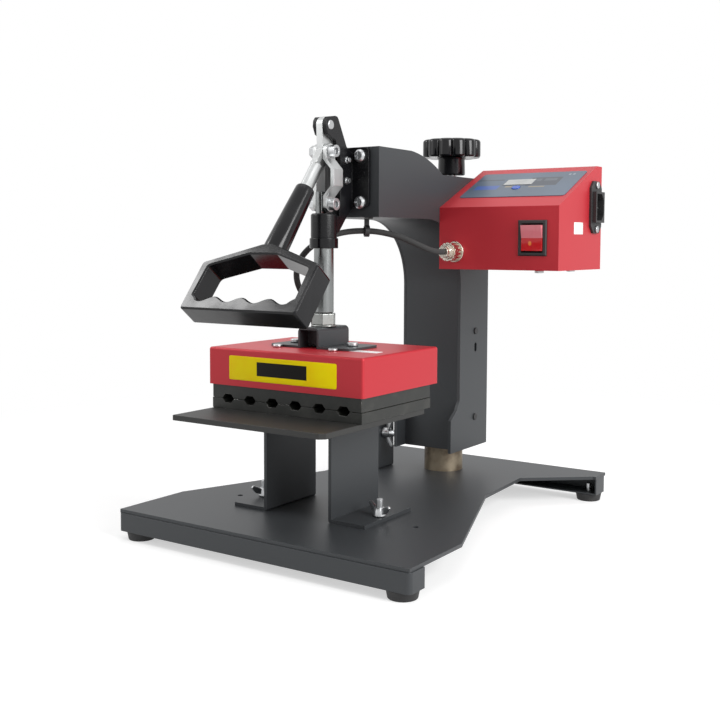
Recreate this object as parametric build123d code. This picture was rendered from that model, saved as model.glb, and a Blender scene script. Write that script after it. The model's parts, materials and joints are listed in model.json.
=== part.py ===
from build123d import *
import math
import os

# A bench-top swing-away heat press for pens.
# Millimetres. +X to the right, +Y to the back, +Z up, origin on the table under the post's axis.

# General sheet and fits
SHEET = 3.0
THIN_SHEET = 1.5
HEX_SIDES = 6
RUNNING = 0.05
BODY_GAP = 0.3
BEND = 2.0

# Base plate and its rails
BASE_TOP = 26.0
FOOT_HEIGHT = 7.5
BASE_HALF_WIDTH = 144.0
BASE_FRONT = -300.0
BASE_REAR = 71.5
PLATE_SETBACK = 1.0
FRONT_RAIL_DEPTH = 20.0
REAR_RAIL_DEPTH = 23.5
REAR_SETBACK = 1.5
SIDE_END_Y = -224.0
WAIST_FRONT_X = 88.8
WAIST_FRONT_Y = -80.0
WAIST_X = 84.0
WAIST_REAR_Y = 1.0
TAIL_FRONT_Y = 46.7
TAIL_CORNER = 3.2
SPARE_HOLE_X = 91.0
SPARE_HOLE_Y = -205.0
SPARE_HOLE_R = 2.5

# Rubber feet and their screws
FOOT_R = 12.5
FOOT_TAPER = 1.5
FOOT_INSET = 14.0
FOOT_FRONT_INSET = 13.0
FOOT_REAR_INSET = 11.5
FOOT_SCREW_R = 2.5
FOOT_SCREW_HEAD_R = 4.5
FOOT_SCREW_HEAD_H = 2.5
FOOT_RECESS = 2.0
FOOT_SCREW_END = 16.0

# Post, sleeve and bushes
POST_R = 19.0
POST_BELOW_SHELF = 25.4
BUSH_WALL = 1.45
BUSH_LENGTH = 40.0
SLEEVE_WALL = 1.5
SLEEVE_CAP = 6.0
BEARING_PLATE = 4.0
UPPER_BEARING_DROP = 11.0

# Bolts through the base
BASE_BOLT_R = 3.0
BASE_BOLT_HEAD_R = 7.0
BASE_BOLT_HEAD_H = 3.5
STAND_BOLT_TOP = 43.0
POST_BOLT_R = 8.0
POST_BOLT_WASHER_R = 27.0
POST_BOLT_WASHER_H = 3.0
POST_BOLT_HEAD_R = 12.0
POST_BOLT_HEAD_H = 8.0
POST_BOLT_REACH = 35.0

# Column and arm
COLUMN_HALF_WIDTH = 32.0
COLUMN_BOTTOM = 50.5
COLUMN_REAR = 30.8
WEB_FRONT = -26.0
WEB_SHEET = 2.5
SIDE_FOOT_FRONT = -43.0
SIDE_FOOT_TOP = 82.0
SIDE_FOOT_SLOPE_Y = -31.0
SIDE_FOOT_SLOPE_Z = 91.2
SIDE_FOOT_END_Z = 99.9
THROAT_R = 62.0
ARM_BOTTOM = 272.3
ARM_TOP = 331.2
ARM_FRONT = -170.0
SHELF_Z = 313.4
CROWN_START_Y = -118.0
CROWN_MID_Y = -87.0
CROWN_MID_Z = 324.6
CROWN_END_Y = -62.6
CROWN_LEAN = 0.33

# Openings and plugs in the column's right side
PLUG_R = 2.6
PLUG_RIM = 0.7
PLUG_HEAD = 1.2
PLUG_Y = 5.0
PLUG_LOW_Z = 80.0
PLUG_HIGH_Z = 165.0
OVAL_Y = 5.4
OVAL_Z = 149.0
OVAL_WIDTH = 4.5
OVAL_HEIGHT = 9.0

# Plunger axis, toggle and bracket
PRESS_Y = -204.0
TOP_PIVOT_Z = 346.9
LEVER_ARM = 21.4
LINK_LENGTH = 43.3
LEVER_HALF = 3.0
LINK_SHEET = 3.6
LINK_BOW = 7.8
LINK_SLANT = 8.5
LINK_WIDTH = 12.6
PIVOT_R = 3.0
PIVOT_HEAD_R = 5.0
PIVOT_HEAD_H = 6.0
PIVOT_NUT_FLATS = 9.4
PIVOT_NUT_H = 5.0
PIVOT_THREAD_END = 1.0
TOP_PIN_R = 4.0
TOP_PIN_PROUD = 0.8
TOP_PIN_EDGE = 0.5
EAR_SHEET = 3.5
EAR_WAIST = 16.0
EAR_WAIST_DROP = 47.0
EAR_ROOT_DROP = 20.0
EAR_TIP = [
    (14.0, -25.0),
    (7.0, -12.0),
    (-3.6, -7.6),
    (-6.5, -1.5),
    (-6.0, 3.5),
    (-3.5, 6.5),
    (6.5, 8.0),
    (9.5, 7.6),
    (11.0, 6.0),
    (22.8, -15.8),
    (26.5, -18.5),
]
GUSSET_DEPTH = 18.0
GUSSET_TOE = 9.0
GUSSET_TOE_DROP = 4.0
GUSSET_BOW_RISE = 6.0
BRACKET_HALF_WIDTH = 23.5
BRACKET_LOW = 280.7
BRACKET_HIGH = 330.7
BRACKET_BOLT_X = 15.6
BRACKET_BOLT_LOW = 284.6
BRACKET_BOLT_HIGH = 323.5
BRACKET_BOLT_HEAD_R = 5.3
BRACKET_BOLT_HEAD_H = 4.0
BRACKET_BOLT_DOME = 1.6
CROSS_REACH = 3.2
CROSS_WIDTH = 1.2
CROSS_DEPTH = 1.8
EAR_SCREW_Y = -182.5
EAR_SCREW_LOW = 302.5
EAR_SCREW_HIGH = 319.5
EAR_SCREW_R = 2.0
EAR_SCREW_NUT_FLATS = 5.5
EAR_SCREW_NUT_H = 1.8
EAR_SCREW_PROUD = 4.2
HOUSING_R = 10.9
HOUSING_LOW = 254.4
HOUSING_HIGH = 274.8
GUIDE_WALL = 1.0
COLLAR_R = 11.9
COLLAR_H = 8.4

# Motion of the toggle: turn of the links and rise of the plunger per radian of the handle
HANDLE_OPEN_DEG = 90.0
LINK_RATIO = 1.3625
RISE_PER_RADIAN = 15.0
PATH_STEPS = 18

# Plunger rod
ROD_R = 8.2
ROD_END_EDGE = 1.0
ROD_SHOULDER_Z = 268.0
TONGUE_TOP_R = 10.0
NUT_FLATS = 18.5
NUT_H = 9.5
ROD_WASHER_R = 10.8
ROD_WASHER_H = 1.5
TAIL_R = 6.0
TAIL_END = 169.0

# Handle, measured from the middle pivot along the grip's axis
GRIP_ANGLE = 38.4
TANG_R = 5.5
TANG_NECK_START = 13.0
TANG_NECK_END = 17.0
TANG_END = 95.0
GRIP_START = 41.0
GRIP_START_R = 8.0
GRIP_SHOULDER = 104.5
GRIP_SHOULDER_R = 9.8
GRIP_FIT = 0.1
LEVER_TOP_R = 6.8
LEVER_EYE_R = 9.5
LEVER_FRONT = 5.5
LOOP_NECK_X = 5.0
LOOP_SHOULDER_X = 57.0
LOOP_SHOULDER_S = 123.0
LOOP_FOOT_X = 56.5
LOOP_END_S = 168.3
LOOP_HALF_THICK = 10.3
LOOP_EDGE = 3.0
WINDOW_TOP_X = 13.5
WINDOW_TOP_S = 114.6
WINDOW_SHOULDER_X = 49.2
WINDOW_SHOULDER_S = 126.4
WINDOW_FOOT_X = 49.6
WINDOW_CREST_S = 155.5
WINDOW_TROUGH_S = 160.0
WINDOW_WAVE = 26.7
WINDOW_WAVES = 4

# Head
COVER_HALF_WIDTH = 77.3
COVER_FRONT = -260.0
COVER_BACK = -147.5
COVER_LOW = 133.6
COVER_TOP = 164.3
PLATE_EDGE_GAP = 0.8
BLOCK_HALF_WIDTH = 75.0
BLOCK_FRONT = -258.0
BLOCK_BACK = -156.0
PARTING_Z = 122.3
UPPER_BLOCK_TOP = 134.6
HEATER_TOP = 146.6
GROOVES = 6
GROOVE_PITCH = 23.2
GROOVE_WIDTH = 12.1
GROOVE_FLOOR = 6.4
GROOVE_DEPTH = 3.5
HAT_HALF = 10.5
HAT_SHEET = 2.0
HAT_FRONT = -225.5
HAT_BACK = -182.5
HAT_TOP = 181.3
HAT_FLANGE = 41.0
HAT_CORNER = 5.0
HAT_BLOCK_DEPTH = 20.0
HAT_SCREW_X = 29.0
HAT_SCREW_R = 2.5
HAT_SCREW_HEAD_R = 4.8
HAT_SCREW_HEAD_H = 3.0
PAN_SCREW_X = 28.2
PAN_SCREW_Y = -230.2
PAN_SCREW_R = 2.0
PAN_SCREW_HEAD_R = 4.0
PAN_SCREW_HEAD_H = 2.4
HEAD_SCREW_END = 140.0
GLAND_X = -31.0
GLAND_Y = -175.5
GLAND_R = 6.0
GLAND_H = 9.0
GLAND_NECK_R = 4.0

# Lower platen and its stand
PLATEN_HALF_WIDTH = 74.0
PLATEN_FRONT = -306.4
PLATEN_BACK = -164.0
PLATEN_SHEET = 4.4
PLATEN_TOP = 113.6
PLATEN_CORNER = 4.0
STAND_X = -4.5
LEG_HALF_SPACING = 33.2
LEG_FRONT = -235.0
LEG_BACK = -166.0
LEG_FOOT = 32.3
LEG_TOP_FLANGE = 20.0
STAND_BOLT_X = 60.0
STAND_BOLT_Y = -203.0
PLATEN_SCREW_Y = 22.0
PLATEN_SCREW_R = 2.5
PLATEN_SCREW_HEAD_R = 4.5
PLATEN_SCREW_HEAD_H = 3.5
PLATEN_SCREW_BITE = 4.0

# Wing nuts
WING_HUB_R = 5.5
WING_HUB_H = 7.0
WING_RISE = 10.5
WING_SHEET = 2.4
WING_OUTLINE = [
    (3.5, 1.8),
    (9.6, 3.2),
    (14.5, 8.8),
    (12.4, WING_RISE),
    (8.6, 9.0),
    (3.5, 6.2),
]
LEFT_WING_TURN = 75.0
RIGHT_WING_TURN = -21.0

# Swing stop
STOP_X = -50.0
STOP_FRONT = -45.0
STOP_BACK = -17.0
STOP_TOP = 78.0
STOP_FOOT = 26.0
STOP_SCREW_Y = -35.0
STOP_SCREW_Z = 62.0
STOP_SCREW_END = -64.0
STOP_HEAD_FLATS = 10.0
STOP_HEAD_H = 4.0

# Star knob
KNOB_Y = 11.0
KNOB_R = 29.0
KNOB_HUB_R = 13.5
KNOB_HUB_LOW = 315.6
KNOB_HEAD_LOW = 335.0
KNOB_TOP = 353.0
KNOB_LOBES = 12
KNOB_SCALLOP_R = 5.0
KNOB_SCALLOP_SINK = 3.2
KNOB_EDGE = 2.0
STUD_R = 5.0
STUD_BITE = 10.0
STUD_HOLE_SLACK = 0.5

# Control box
BOX_RIGHT = 149.3
BOX_FRONT = -67.9
BOX_BACK = 29.2
BOX_LOW = 227.1
BOX_FRONT_TOP = 283.3
BOX_CREST_Y = 17.0
BOX_TOP = 321.9
BOX_SHEET = 1.5
BOX_SCREW_R = 2.0
BOX_SCREW_HEAD_R = 4.0
BOX_SCREW_HEAD_H = 2.4
BOX_SCREW_PLACES = ((-8.0, 245.0), (20.0, 245.0), (5.0, 300.0))
BOTTOM_SCREW_PLACES = ((126.0, -55.0), (126.0, 15.0))

# Control film, display, key and board, measured up the box's slope
FILM_LEFT = 41.0
FILM_RIGHT = 145.0
FILM_LOW = 22.0
FILM_HIGH = 81.0
FILM_SHEET = 0.5
FILM_CORNER = 3.0
DISPLAY_X = 87.5
DISPLAY_S = 57.0
DISPLAY_WIDTH = 28.0
DISPLAY_HEIGHT = 13.0
DISPLAY_SHEET = 0.9
KEY_X = 89.5
KEY_S = 43.5
KEY_R = 4.0
KEY_PROUD = 1.3
KEY_EDGE = 0.4
KEY_TRAVEL = 0.6
KEY_DOME_TOP = 7.0
BOARD_TOP = 10.5
BOARD_SHEET = 1.6
BOARD_LEFT = 50.0
BOARD_RIGHT = 132.0
BOARD_LOW = 26.0
BOARD_HIGH = 74.0
SPACER_R = 3.0
SPACER_INSET = 5.0
SWITCH_SIDE = 6.0
TRANSFORMER_X = 52.0
TRANSFORMER_Y = -30.0
TRANSFORMER_WIDTH = 34.0
TRANSFORMER_DEPTH = 36.0
TRANSFORMER_HEIGHT = 30.0

# Rocker switch
ROCKER_X = 125.0
ROCKER_Z = 255.4
BEZEL_HALF_WIDTH = 13.5
BEZEL_HALF_HEIGHT = 15.6
BEZEL_PROUD = 1.8
BEZEL_BODY_INSET = 1.6
BEZEL_DEPTH = 20.0
POCKET_HALF_WIDTH = 10.2
POCKET_HALF_HEIGHT = 12.7
POCKET_DEPTH = 9.0
PADDLE_HALF_WIDTH = 9.8
PADDLE_HALF_HEIGHT = 11.2
PADDLE_PROUD = 0.6
PADDLE_BACK = 4.5
PADDLE_BACK_HALF = 6.0
PADDLE_PIVOT_DEPTH = 1.5
AXLE_R = 1.4
AXLE_LENGTH = 1.0
ROCKER_TILT = 12.0

# Power inlet on the box's end
INLET_Y = 12.0
INLET_Z = 284.0
INLET_FLANGE_HEIGHT = 47.5
INLET_FLANGE_WIDTH = 25.0
INLET_FLANGE = 2.2
INLET_CORNER = 6.2
INLET_SCREW_PITCH = 40.0
INLET_BODY_HEIGHT = 28.0
INLET_BODY_WIDTH = 20.5
INLET_PROUD = 6.0
INLET_BEHIND = 22.0
INLET_SOCKET_HEIGHT = 24.2
INLET_SOCKET_WIDTH = 16.2
INLET_SOCKET_DEPTH = 17.0
INLET_KEY = 5.0
INLET_PIN_PITCH = 7.0
INLET_PIN_OFFSET = 2.0
INLET_PIN_THICK = 2.0
INLET_PIN_WIDTH = 4.0
INLET_PIN_LENGTH = 13.0
INLET_SCREW_R = 1.7
INLET_SCREW_HEAD_R = 3.2
INLET_SCREW_HEAD_H = 1.6

# Cable socket, plug and cable
SOCKET_X = 48.5
SOCKET_Z = 243.0
SOCKET_FLANGE_R = 9.5
SOCKET_FLANGE = 2.2
SOCKET_BARREL_R = 6.0
SOCKET_BARREL = 6.0
SOCKET_BEHIND = 12.0
PLUG_BODY_R = 6.6
PLUG_NECK_R = 5.0
PLUG_BODY = 9.0
PLUG_NECK = 5.5
RING_R = 8.4
RING_LENGTH = 12.0
RING_GRIPS = 14
RING_GRIP_R = 0.8
CABLE_D = 5.2
CABLE_END = BOX_FRONT - SOCKET_FLANGE - SOCKET_BARREL - PLUG_BODY - PLUG_NECK
CLIP_FROM = (14.5, -145.5, 260.8)
CLIP_TO = (1.5, -159.0, 261.2)
ARC_SHARE = 0.45
CABLE_ROUTE = [
    (SOCKET_X, CABLE_END, SOCKET_Z),
    (SOCKET_X, -106.0, SOCKET_Z),
    (42.5, -121.0, 248.5),
    (29.0, -133.0, 256.5),
    CLIP_FROM,
    CLIP_TO,
    (-8.0, -173.0, 258.8),
    (-17.0, -186.0, 253.0),
    (-27.5, -195.0, 242.5),
    (-32.5, -199.5, 229.0),
    (-33.0, -197.5, 215.0),
    (-32.0, -187.0, 202.5),
    (GLAND_X, GLAND_Y, 190.0),
    (GLAND_X, GLAND_Y, COVER_TOP + GLAND_H),
]
CLIP_LENGTH = 4.0
CLIP_WALL = 1.2
CLIP_SLACK = 1.3
CLIP_TAB = 16.0

# Worked out from the values above
PLATE_LOW = BASE_TOP - SHEET
REAR_HALF_WIDTH = BASE_HALF_WIDTH - REAR_SETBACK
FOOT_X = BASE_HALF_WIDTH - FOOT_INSET
FOOT_FRONT_Y = BASE_FRONT + FOOT_FRONT_INSET
FOOT_REAR_Y = BASE_REAR - FOOT_REAR_INSET
POST_TOP = SHELF_Z - POST_BELOW_SHELF
UPPER_BEARING_Z = POST_TOP - UPPER_BEARING_DROP
FRAME_INNER = COLUMN_HALF_WIDTH - SHEET
WEB_BACK = WEB_FRONT + WEB_SHEET
COVER_INNER_Y = COLUMN_REAR - WEB_SHEET
THROAT_Y = WEB_FRONT - THROAT_R
THROAT_Z = ARM_BOTTOM - THROAT_R
BUSH_BORE_R = POST_R + RUNNING
BUSH_R = BUSH_BORE_R + BUSH_WALL
SLEEVE_R = BUSH_R + SLEEVE_WALL
SLEEVE_TOP = POST_TOP + RUNNING + SLEEVE_CAP
MIDDLE_PIVOT_Z = TOP_PIVOT_Z - LEVER_ARM
LOW_PIVOT_Z = MIDDLE_PIVOT_Z - LINK_LENGTH
BRACKET_FACE = ARM_FRONT - SHEET
EAR_INNER = LEVER_HALF + BODY_GAP
EAR_OUTER = EAR_INNER + EAR_SHEET
GUIDE_BORE_R = ROD_R + RUNNING
GUIDE_R = GUIDE_BORE_R + GUIDE_WALL
LINK_INNER = LEVER_HALF + BODY_GAP
LINK_OUTER = LINK_INNER + LINK_SHEET
NUT_LOW = HAT_TOP + ROD_WASHER_H
NUT_HIGH = NUT_LOW + NUT_H
UPPER_BLOCK_LOW = PARTING_Z + BODY_GAP / 2
LOWER_BLOCK_TOP = PARTING_Z - BODY_GAP / 2
PLATEN_LOW = PLATEN_TOP - PLATEN_SHEET
BOX_LEFT = COLUMN_HALF_WIDTH
SLOPE = math.atan2(BOX_TOP - BOX_FRONT_TOP, BOX_CREST_Y - BOX_FRONT)
KNOB_STUD_END = KNOB_HEAD_LOW + STUD_BITE
GRIP_SIN = math.sin(math.radians(GRIP_ANGLE))
GRIP_COS = math.cos(math.radians(GRIP_ANGLE))

# Planes that the slanting pieces are drawn on
SLOPE_PLANE = Plane(
    origin=(0, BOX_FRONT, BOX_FRONT_TOP),
    x_dir=(1, 0, 0),
    z_dir=(0, -math.sin(SLOPE), math.cos(SLOPE)),
)
GRIP_PLANE = Plane(
    origin=(0, PRESS_Y, MIDDLE_PIVOT_Z),
    x_dir=(1, 0, 0),
    z_dir=(0, -GRIP_COS, GRIP_SIN),
)


def block(low, high):
    """A box between two corners."""
    size = [b - a for a, b in zip(low, high)]
    middle = [(a + b) / 2 for a, b in zip(low, high)]
    return Pos(*middle) * Box(*size)


def round_z(x, y, radius, low, high):
    """A cylinder along Z."""
    return Pos(x, y, (low + high) / 2) * Cylinder(radius, high - low)


def round_y(x, z, radius, low, high):
    """A cylinder along Y."""
    return Pos(x, (low + high) / 2, z) * Rot(90, 0, 0) * Cylinder(radius, high - low)


def round_x(y, z, radius, low, high):
    """A cylinder along X."""
    return Pos((low + high) / 2, y, z) * Rot(0, 90, 0) * Cylinder(radius, high - low)


def side_prism(outline, low, high):
    """A closed outline of (y, z) points or edges, run along X."""
    wire = Polyline(*outline, close=True) if isinstance(outline, list) else outline
    return extrude(Plane.YZ.offset(low) * make_face(wire), amount=high - low)


def plan_prism(outline, low, high):
    """A closed outline of (x, y) points, run along Z."""
    return extrude(Plane.XY.offset(low) * make_face(Polyline(*outline, close=True)), amount=high - low)


def front_prism(outline, low, high):
    """A closed outline of (x, z) points, run along Y."""
    return extrude(Plane.XZ.offset(-high) * make_face(Polyline(*outline, close=True)), amount=high - low)


def mirrored(points):
    """A half outline and its mirror image about X = 0, in order."""
    return points + [(-x, y) for x, y in reversed(points)]


def hexagon(flats, height):
    """A hexagonal prism on the XY plane."""
    return extrude(RegularPolygon(flats / 2, HEX_SIDES, major_radius=False), amount=height)


def ease(solid, axis, places, radius):
    """Rounds the edges along an axis that pass through the given places."""
    chosen = []
    for edge in solid.edges().filter_by(axis):
        centre = edge.center()
        for place in places:
            pairs = zip(place, (centre.X, centre.Y, centre.Z))
            if all(v is None or abs(v - c) < BODY_GAP for v, c in pairs):
                chosen.append(edge)
                break
    return fillet(chosen, radius)


# Base


def make_base_plate():
    half = BASE_HALF_WIDTH - PLATE_SETBACK
    right = [
        (half, BASE_FRONT + PLATE_SETBACK),
        (half, SIDE_END_Y),
        (WAIST_FRONT_X, WAIST_FRONT_Y),
        (WAIST_X, WAIST_REAR_Y),
        (REAR_HALF_WIDTH - TAIL_CORNER, TAIL_FRONT_Y),
        (REAR_HALF_WIDTH, TAIL_FRONT_Y),
        (REAR_HALF_WIDTH, BASE_REAR),
    ]
    plate = plan_prism(mirrored(right), PLATE_LOW, BASE_TOP)
    for side in (-1, 1):
        plate -= round_z(side * SPARE_HOLE_X, SPARE_HOLE_Y, SPARE_HOLE_R, PLATE_LOW, BASE_TOP)
        plate -= round_z(STAND_X + side * STAND_BOLT_X, STAND_BOLT_Y, BASE_BOLT_R, PLATE_LOW, BASE_TOP)
    plate -= round_z(*stop_bolt_place(), BASE_BOLT_R, PLATE_LOW, BASE_TOP)
    plate -= round_z(0, 0, POST_BOLT_R, PLATE_LOW, BASE_TOP)
    return plate


def make_rail(half_width, front, back, open_front):
    """A folded tray under the base plate: one long wall, two end tabs and a bottom flange."""
    outer = block((-half_width, front, FOOT_HEIGHT), (half_width, back, PLATE_LOW))
    y = back if open_front else front
    outer = ease(outer, Axis.Z, [(-half_width, y, None), (half_width, y, None)], BEND * 2)
    if open_front:
        inner = block(
            (-half_width + THIN_SHEET, front, FOOT_HEIGHT + THIN_SHEET),
            (half_width - THIN_SHEET, back - THIN_SHEET, PLATE_LOW),
        )
    else:
        inner = block(
            (-half_width + THIN_SHEET, front + THIN_SHEET, FOOT_HEIGHT + THIN_SHEET),
            (half_width - THIN_SHEET, back, PLATE_LOW),
        )
    rail = outer - inner
    for x, foot_y in foot_places():
        if front < foot_y < back:
            rail -= round_z(x, foot_y, FOOT_SCREW_R, FOOT_HEIGHT, FOOT_HEIGHT + THIN_SHEET)
    return rail


def foot_places():
    return [(x, y) for y in (FOOT_FRONT_Y, FOOT_REAR_Y) for x in (-FOOT_X, FOOT_X)]


def make_feet():
    feet = []
    for x, y in foot_places():
        foot = Pos(x, y, FOOT_HEIGHT / 2) * Cone(FOOT_R - FOOT_TAPER, FOOT_R, FOOT_HEIGHT)
        foot -= round_z(x, y, FOOT_SCREW_HEAD_R, 0, FOOT_RECESS + FOOT_SCREW_HEAD_H)
        foot -= round_z(x, y, FOOT_SCREW_R, 0, FOOT_HEIGHT)
        feet.append(foot)
    return feet


def make_foot_screws():
    screws = []
    for x, y in foot_places():
        head = round_z(x, y, FOOT_SCREW_HEAD_R, FOOT_RECESS, FOOT_RECESS + FOOT_SCREW_HEAD_H)
        screws.append(head + round_z(x, y, FOOT_SCREW_R, FOOT_RECESS, FOOT_SCREW_END))
    return screws


def stop_bolt_place():
    return STOP_X - SHEET / 2 - STOP_FOOT / 2, (STOP_FRONT + STOP_BACK) / 2


def make_base_bolts():
    bolts = []
    head_low = PLATE_LOW - BASE_BOLT_HEAD_H
    for side in (-1, 1):
        x = STAND_X + side * STAND_BOLT_X
        head = round_z(x, STAND_BOLT_Y, BASE_BOLT_HEAD_R, head_low, PLATE_LOW)
        bolts.append(head + round_z(x, STAND_BOLT_Y, BASE_BOLT_R, head_low, STAND_BOLT_TOP))
    x, y = stop_bolt_place()
    foot_top = BASE_TOP + SHEET
    stop_bolt = round_z(x, y, BASE_BOLT_R, head_low, foot_top)
    stop_bolt += round_z(x, y, BASE_BOLT_HEAD_R, head_low, PLATE_LOW)
    stop_bolt += Pos(x, y, foot_top) * hexagon(STOP_HEAD_FLATS, STOP_HEAD_H)
    bolts.append(stop_bolt)
    washer_low = PLATE_LOW - POST_BOLT_WASHER_H
    post_bolt = round_z(0, 0, POST_BOLT_R, washer_low, BASE_TOP + POST_BOLT_REACH)
    post_bolt += round_z(0, 0, POST_BOLT_WASHER_R, washer_low, PLATE_LOW)
    post_bolt += Pos(0, 0, washer_low - POST_BOLT_HEAD_H) * hexagon(2 * POST_BOLT_HEAD_R, POST_BOLT_HEAD_H)
    bolts.append(post_bolt)
    return bolts


def make_post():
    post = round_z(0, 0, POST_R, BASE_TOP, POST_TOP)
    return post - round_z(0, 0, POST_BOLT_R, BASE_TOP, BASE_TOP + POST_BOLT_REACH)


# Stand and lower platen


def make_leg(side):
    """One folded leg of the stand: web, foot turned outwards and top flange turned inwards."""
    web = STAND_X + side * LEG_HALF_SPACING
    outer = web + side * SHEET / 2
    inner = web - side * SHEET / 2
    foot = outer + side * LEG_FOOT
    flange = inner - side * LEG_TOP_FLANGE
    outline = [
        (inner, BASE_TOP),
        (foot, BASE_TOP),
        (foot, BASE_TOP + SHEET),
        (outer, BASE_TOP + SHEET),
        (outer, PLATEN_LOW),
        (flange, PLATEN_LOW),
        (flange, PLATEN_LOW - SHEET),
        (inner, PLATEN_LOW - SHEET),
    ]
    leg = front_prism(outline, LEG_FRONT, LEG_BACK)
    leg = ease(leg, Axis.Y, [(inner, None, BASE_TOP), (outer, None, PLATEN_LOW)], BEND)
    bolt_x = STAND_X + side * STAND_BOLT_X
    leg -= round_z(bolt_x, STAND_BOLT_Y, BASE_BOLT_R, BASE_TOP, BASE_TOP + SHEET)
    for x, y in platen_screw_places():
        leg -= round_z(x, y, PLATEN_SCREW_R, PLATEN_LOW - SHEET, PLATEN_LOW)
    return leg


def platen_screw_places():
    middle = (LEG_FRONT + LEG_BACK) / 2
    reach = LEG_HALF_SPACING - SHEET / 2 - LEG_TOP_FLANGE / 2
    return [(STAND_X + sx * reach, middle + sy * PLATEN_SCREW_Y) for sx in (-1, 1) for sy in (-1, 1)]


def make_platen():
    half = PLATEN_HALF_WIDTH
    platen = block((-half, PLATEN_FRONT, PLATEN_LOW), (half, PLATEN_BACK, PLATEN_TOP))
    corner = platen.edges().filter_by(Axis.Z).sort_by(Axis.X)[-2:].sort_by(Axis.Y)[0]
    platen = chamfer(corner, PLATEN_CORNER)
    for x, y in platen_screw_places():
        platen -= round_z(x, y, PLATEN_SCREW_R, PLATEN_LOW, PLATEN_TOP)
    return platen


def make_platen_screws():
    screws = []
    low = PLATEN_LOW - SHEET
    for x, y in platen_screw_places():
        head = round_z(x, y, PLATEN_SCREW_HEAD_R, low - PLATEN_SCREW_HEAD_H, low)
        screws.append(head + round_z(x, y, PLATEN_SCREW_R, low, PLATEN_TOP + PLATEN_SCREW_BITE))
    return screws


def groove_places():
    return [(i - (GROOVES - 1) / 2) * GROOVE_PITCH for i in range(GROOVES)]


def make_groove(x, side):
    """One half of a six-sided pen groove, below (-1) or above (1) the parting plane."""
    outline = [
        (x - GROOVE_WIDTH / 2, PARTING_Z),
        (x + GROOVE_WIDTH / 2, PARTING_Z),
        (x + GROOVE_FLOOR / 2, PARTING_Z + side * GROOVE_DEPTH),
        (x - GROOVE_FLOOR / 2, PARTING_Z + side * GROOVE_DEPTH),
    ]
    return front_prism(outline, BLOCK_FRONT, BLOCK_BACK)


def make_lower_block():
    half = BLOCK_HALF_WIDTH
    solid = block((-half, BLOCK_FRONT, PLATEN_TOP), (half, BLOCK_BACK, LOWER_BLOCK_TOP))
    for x in groove_places():
        solid -= make_groove(x, -1)
    for x, y in platen_screw_places():
        solid -= round_z(x, y, PLATEN_SCREW_R, PLATEN_TOP, PLATEN_TOP + PLATEN_SCREW_BITE)
    return solid


def make_wing_nut(bore):
    """A wing nut on the XY plane, with its two wings along X."""
    nut = Cylinder(WING_HUB_R, WING_HUB_H, align=(Align.CENTER, Align.CENTER, Align.MIN))
    for side in (-1, 1):
        wing = [(side * x, z) for x, z in WING_OUTLINE]
        nut += front_prism(wing, -WING_SHEET / 2, WING_SHEET / 2)
    return nut - Cylinder(bore, 2 * WING_RISE)


def make_stand_wing_nut(side, turn):
    x = STAND_X + side * STAND_BOLT_X
    z = BASE_TOP + SHEET + BODY_GAP
    return Pos(x, STAND_BOLT_Y, z) * Rot(0, 0, turn) * make_wing_nut(BASE_BOLT_R + RUNNING)


# Swing stop


def make_stop():
    near = STOP_X + SHEET / 2
    far = STOP_X - SHEET / 2
    outline = [
        (near, BASE_TOP),
        (near, STOP_TOP),
        (far, STOP_TOP),
        (far, BASE_TOP + SHEET),
        (far - STOP_FOOT, BASE_TOP + SHEET),
        (far - STOP_FOOT, BASE_TOP),
    ]
    stop = front_prism(outline, STOP_FRONT, STOP_BACK)
    stop = ease(stop, Axis.Y, [(near, None, BASE_TOP)], BEND)
    stop -= round_z(*stop_bolt_place(), BASE_BOLT_R, BASE_TOP, BASE_TOP + SHEET)
    return stop - round_x(STOP_SCREW_Y, STOP_SCREW_Z, BASE_BOLT_R, far, near)


def make_stop_screw():
    tip = -COLUMN_HALF_WIDTH - BODY_GAP
    screw = round_x(STOP_SCREW_Y, STOP_SCREW_Z, BASE_BOLT_R, STOP_SCREW_END, tip)
    head = Rot(0, -90, 0) * hexagon(STOP_HEAD_FLATS, STOP_HEAD_H)
    return screw + Pos(STOP_SCREW_END, STOP_SCREW_Y, STOP_SCREW_Z) * head


def make_stop_wing_nut():
    x = STOP_X + SHEET / 2 + BODY_GAP
    nut = make_wing_nut(BASE_BOLT_R + RUNNING)
    return Pos(x, STOP_SCREW_Y, STOP_SCREW_Z) * Rot(0, 90, 0) * nut


# Column and arm


def crown_curve(drop):
    """The rounded fall from the arm's top to the shelf, lowered by a sheet's thickness."""
    return ThreePointArc(
        (CROWN_START_Y, ARM_TOP - drop),
        (CROWN_MID_Y - drop * CROWN_LEAN, CROWN_MID_Z - drop),
        (CROWN_END_Y - drop * CROWN_LEAN, SHELF_Z - drop),
    )


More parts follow.
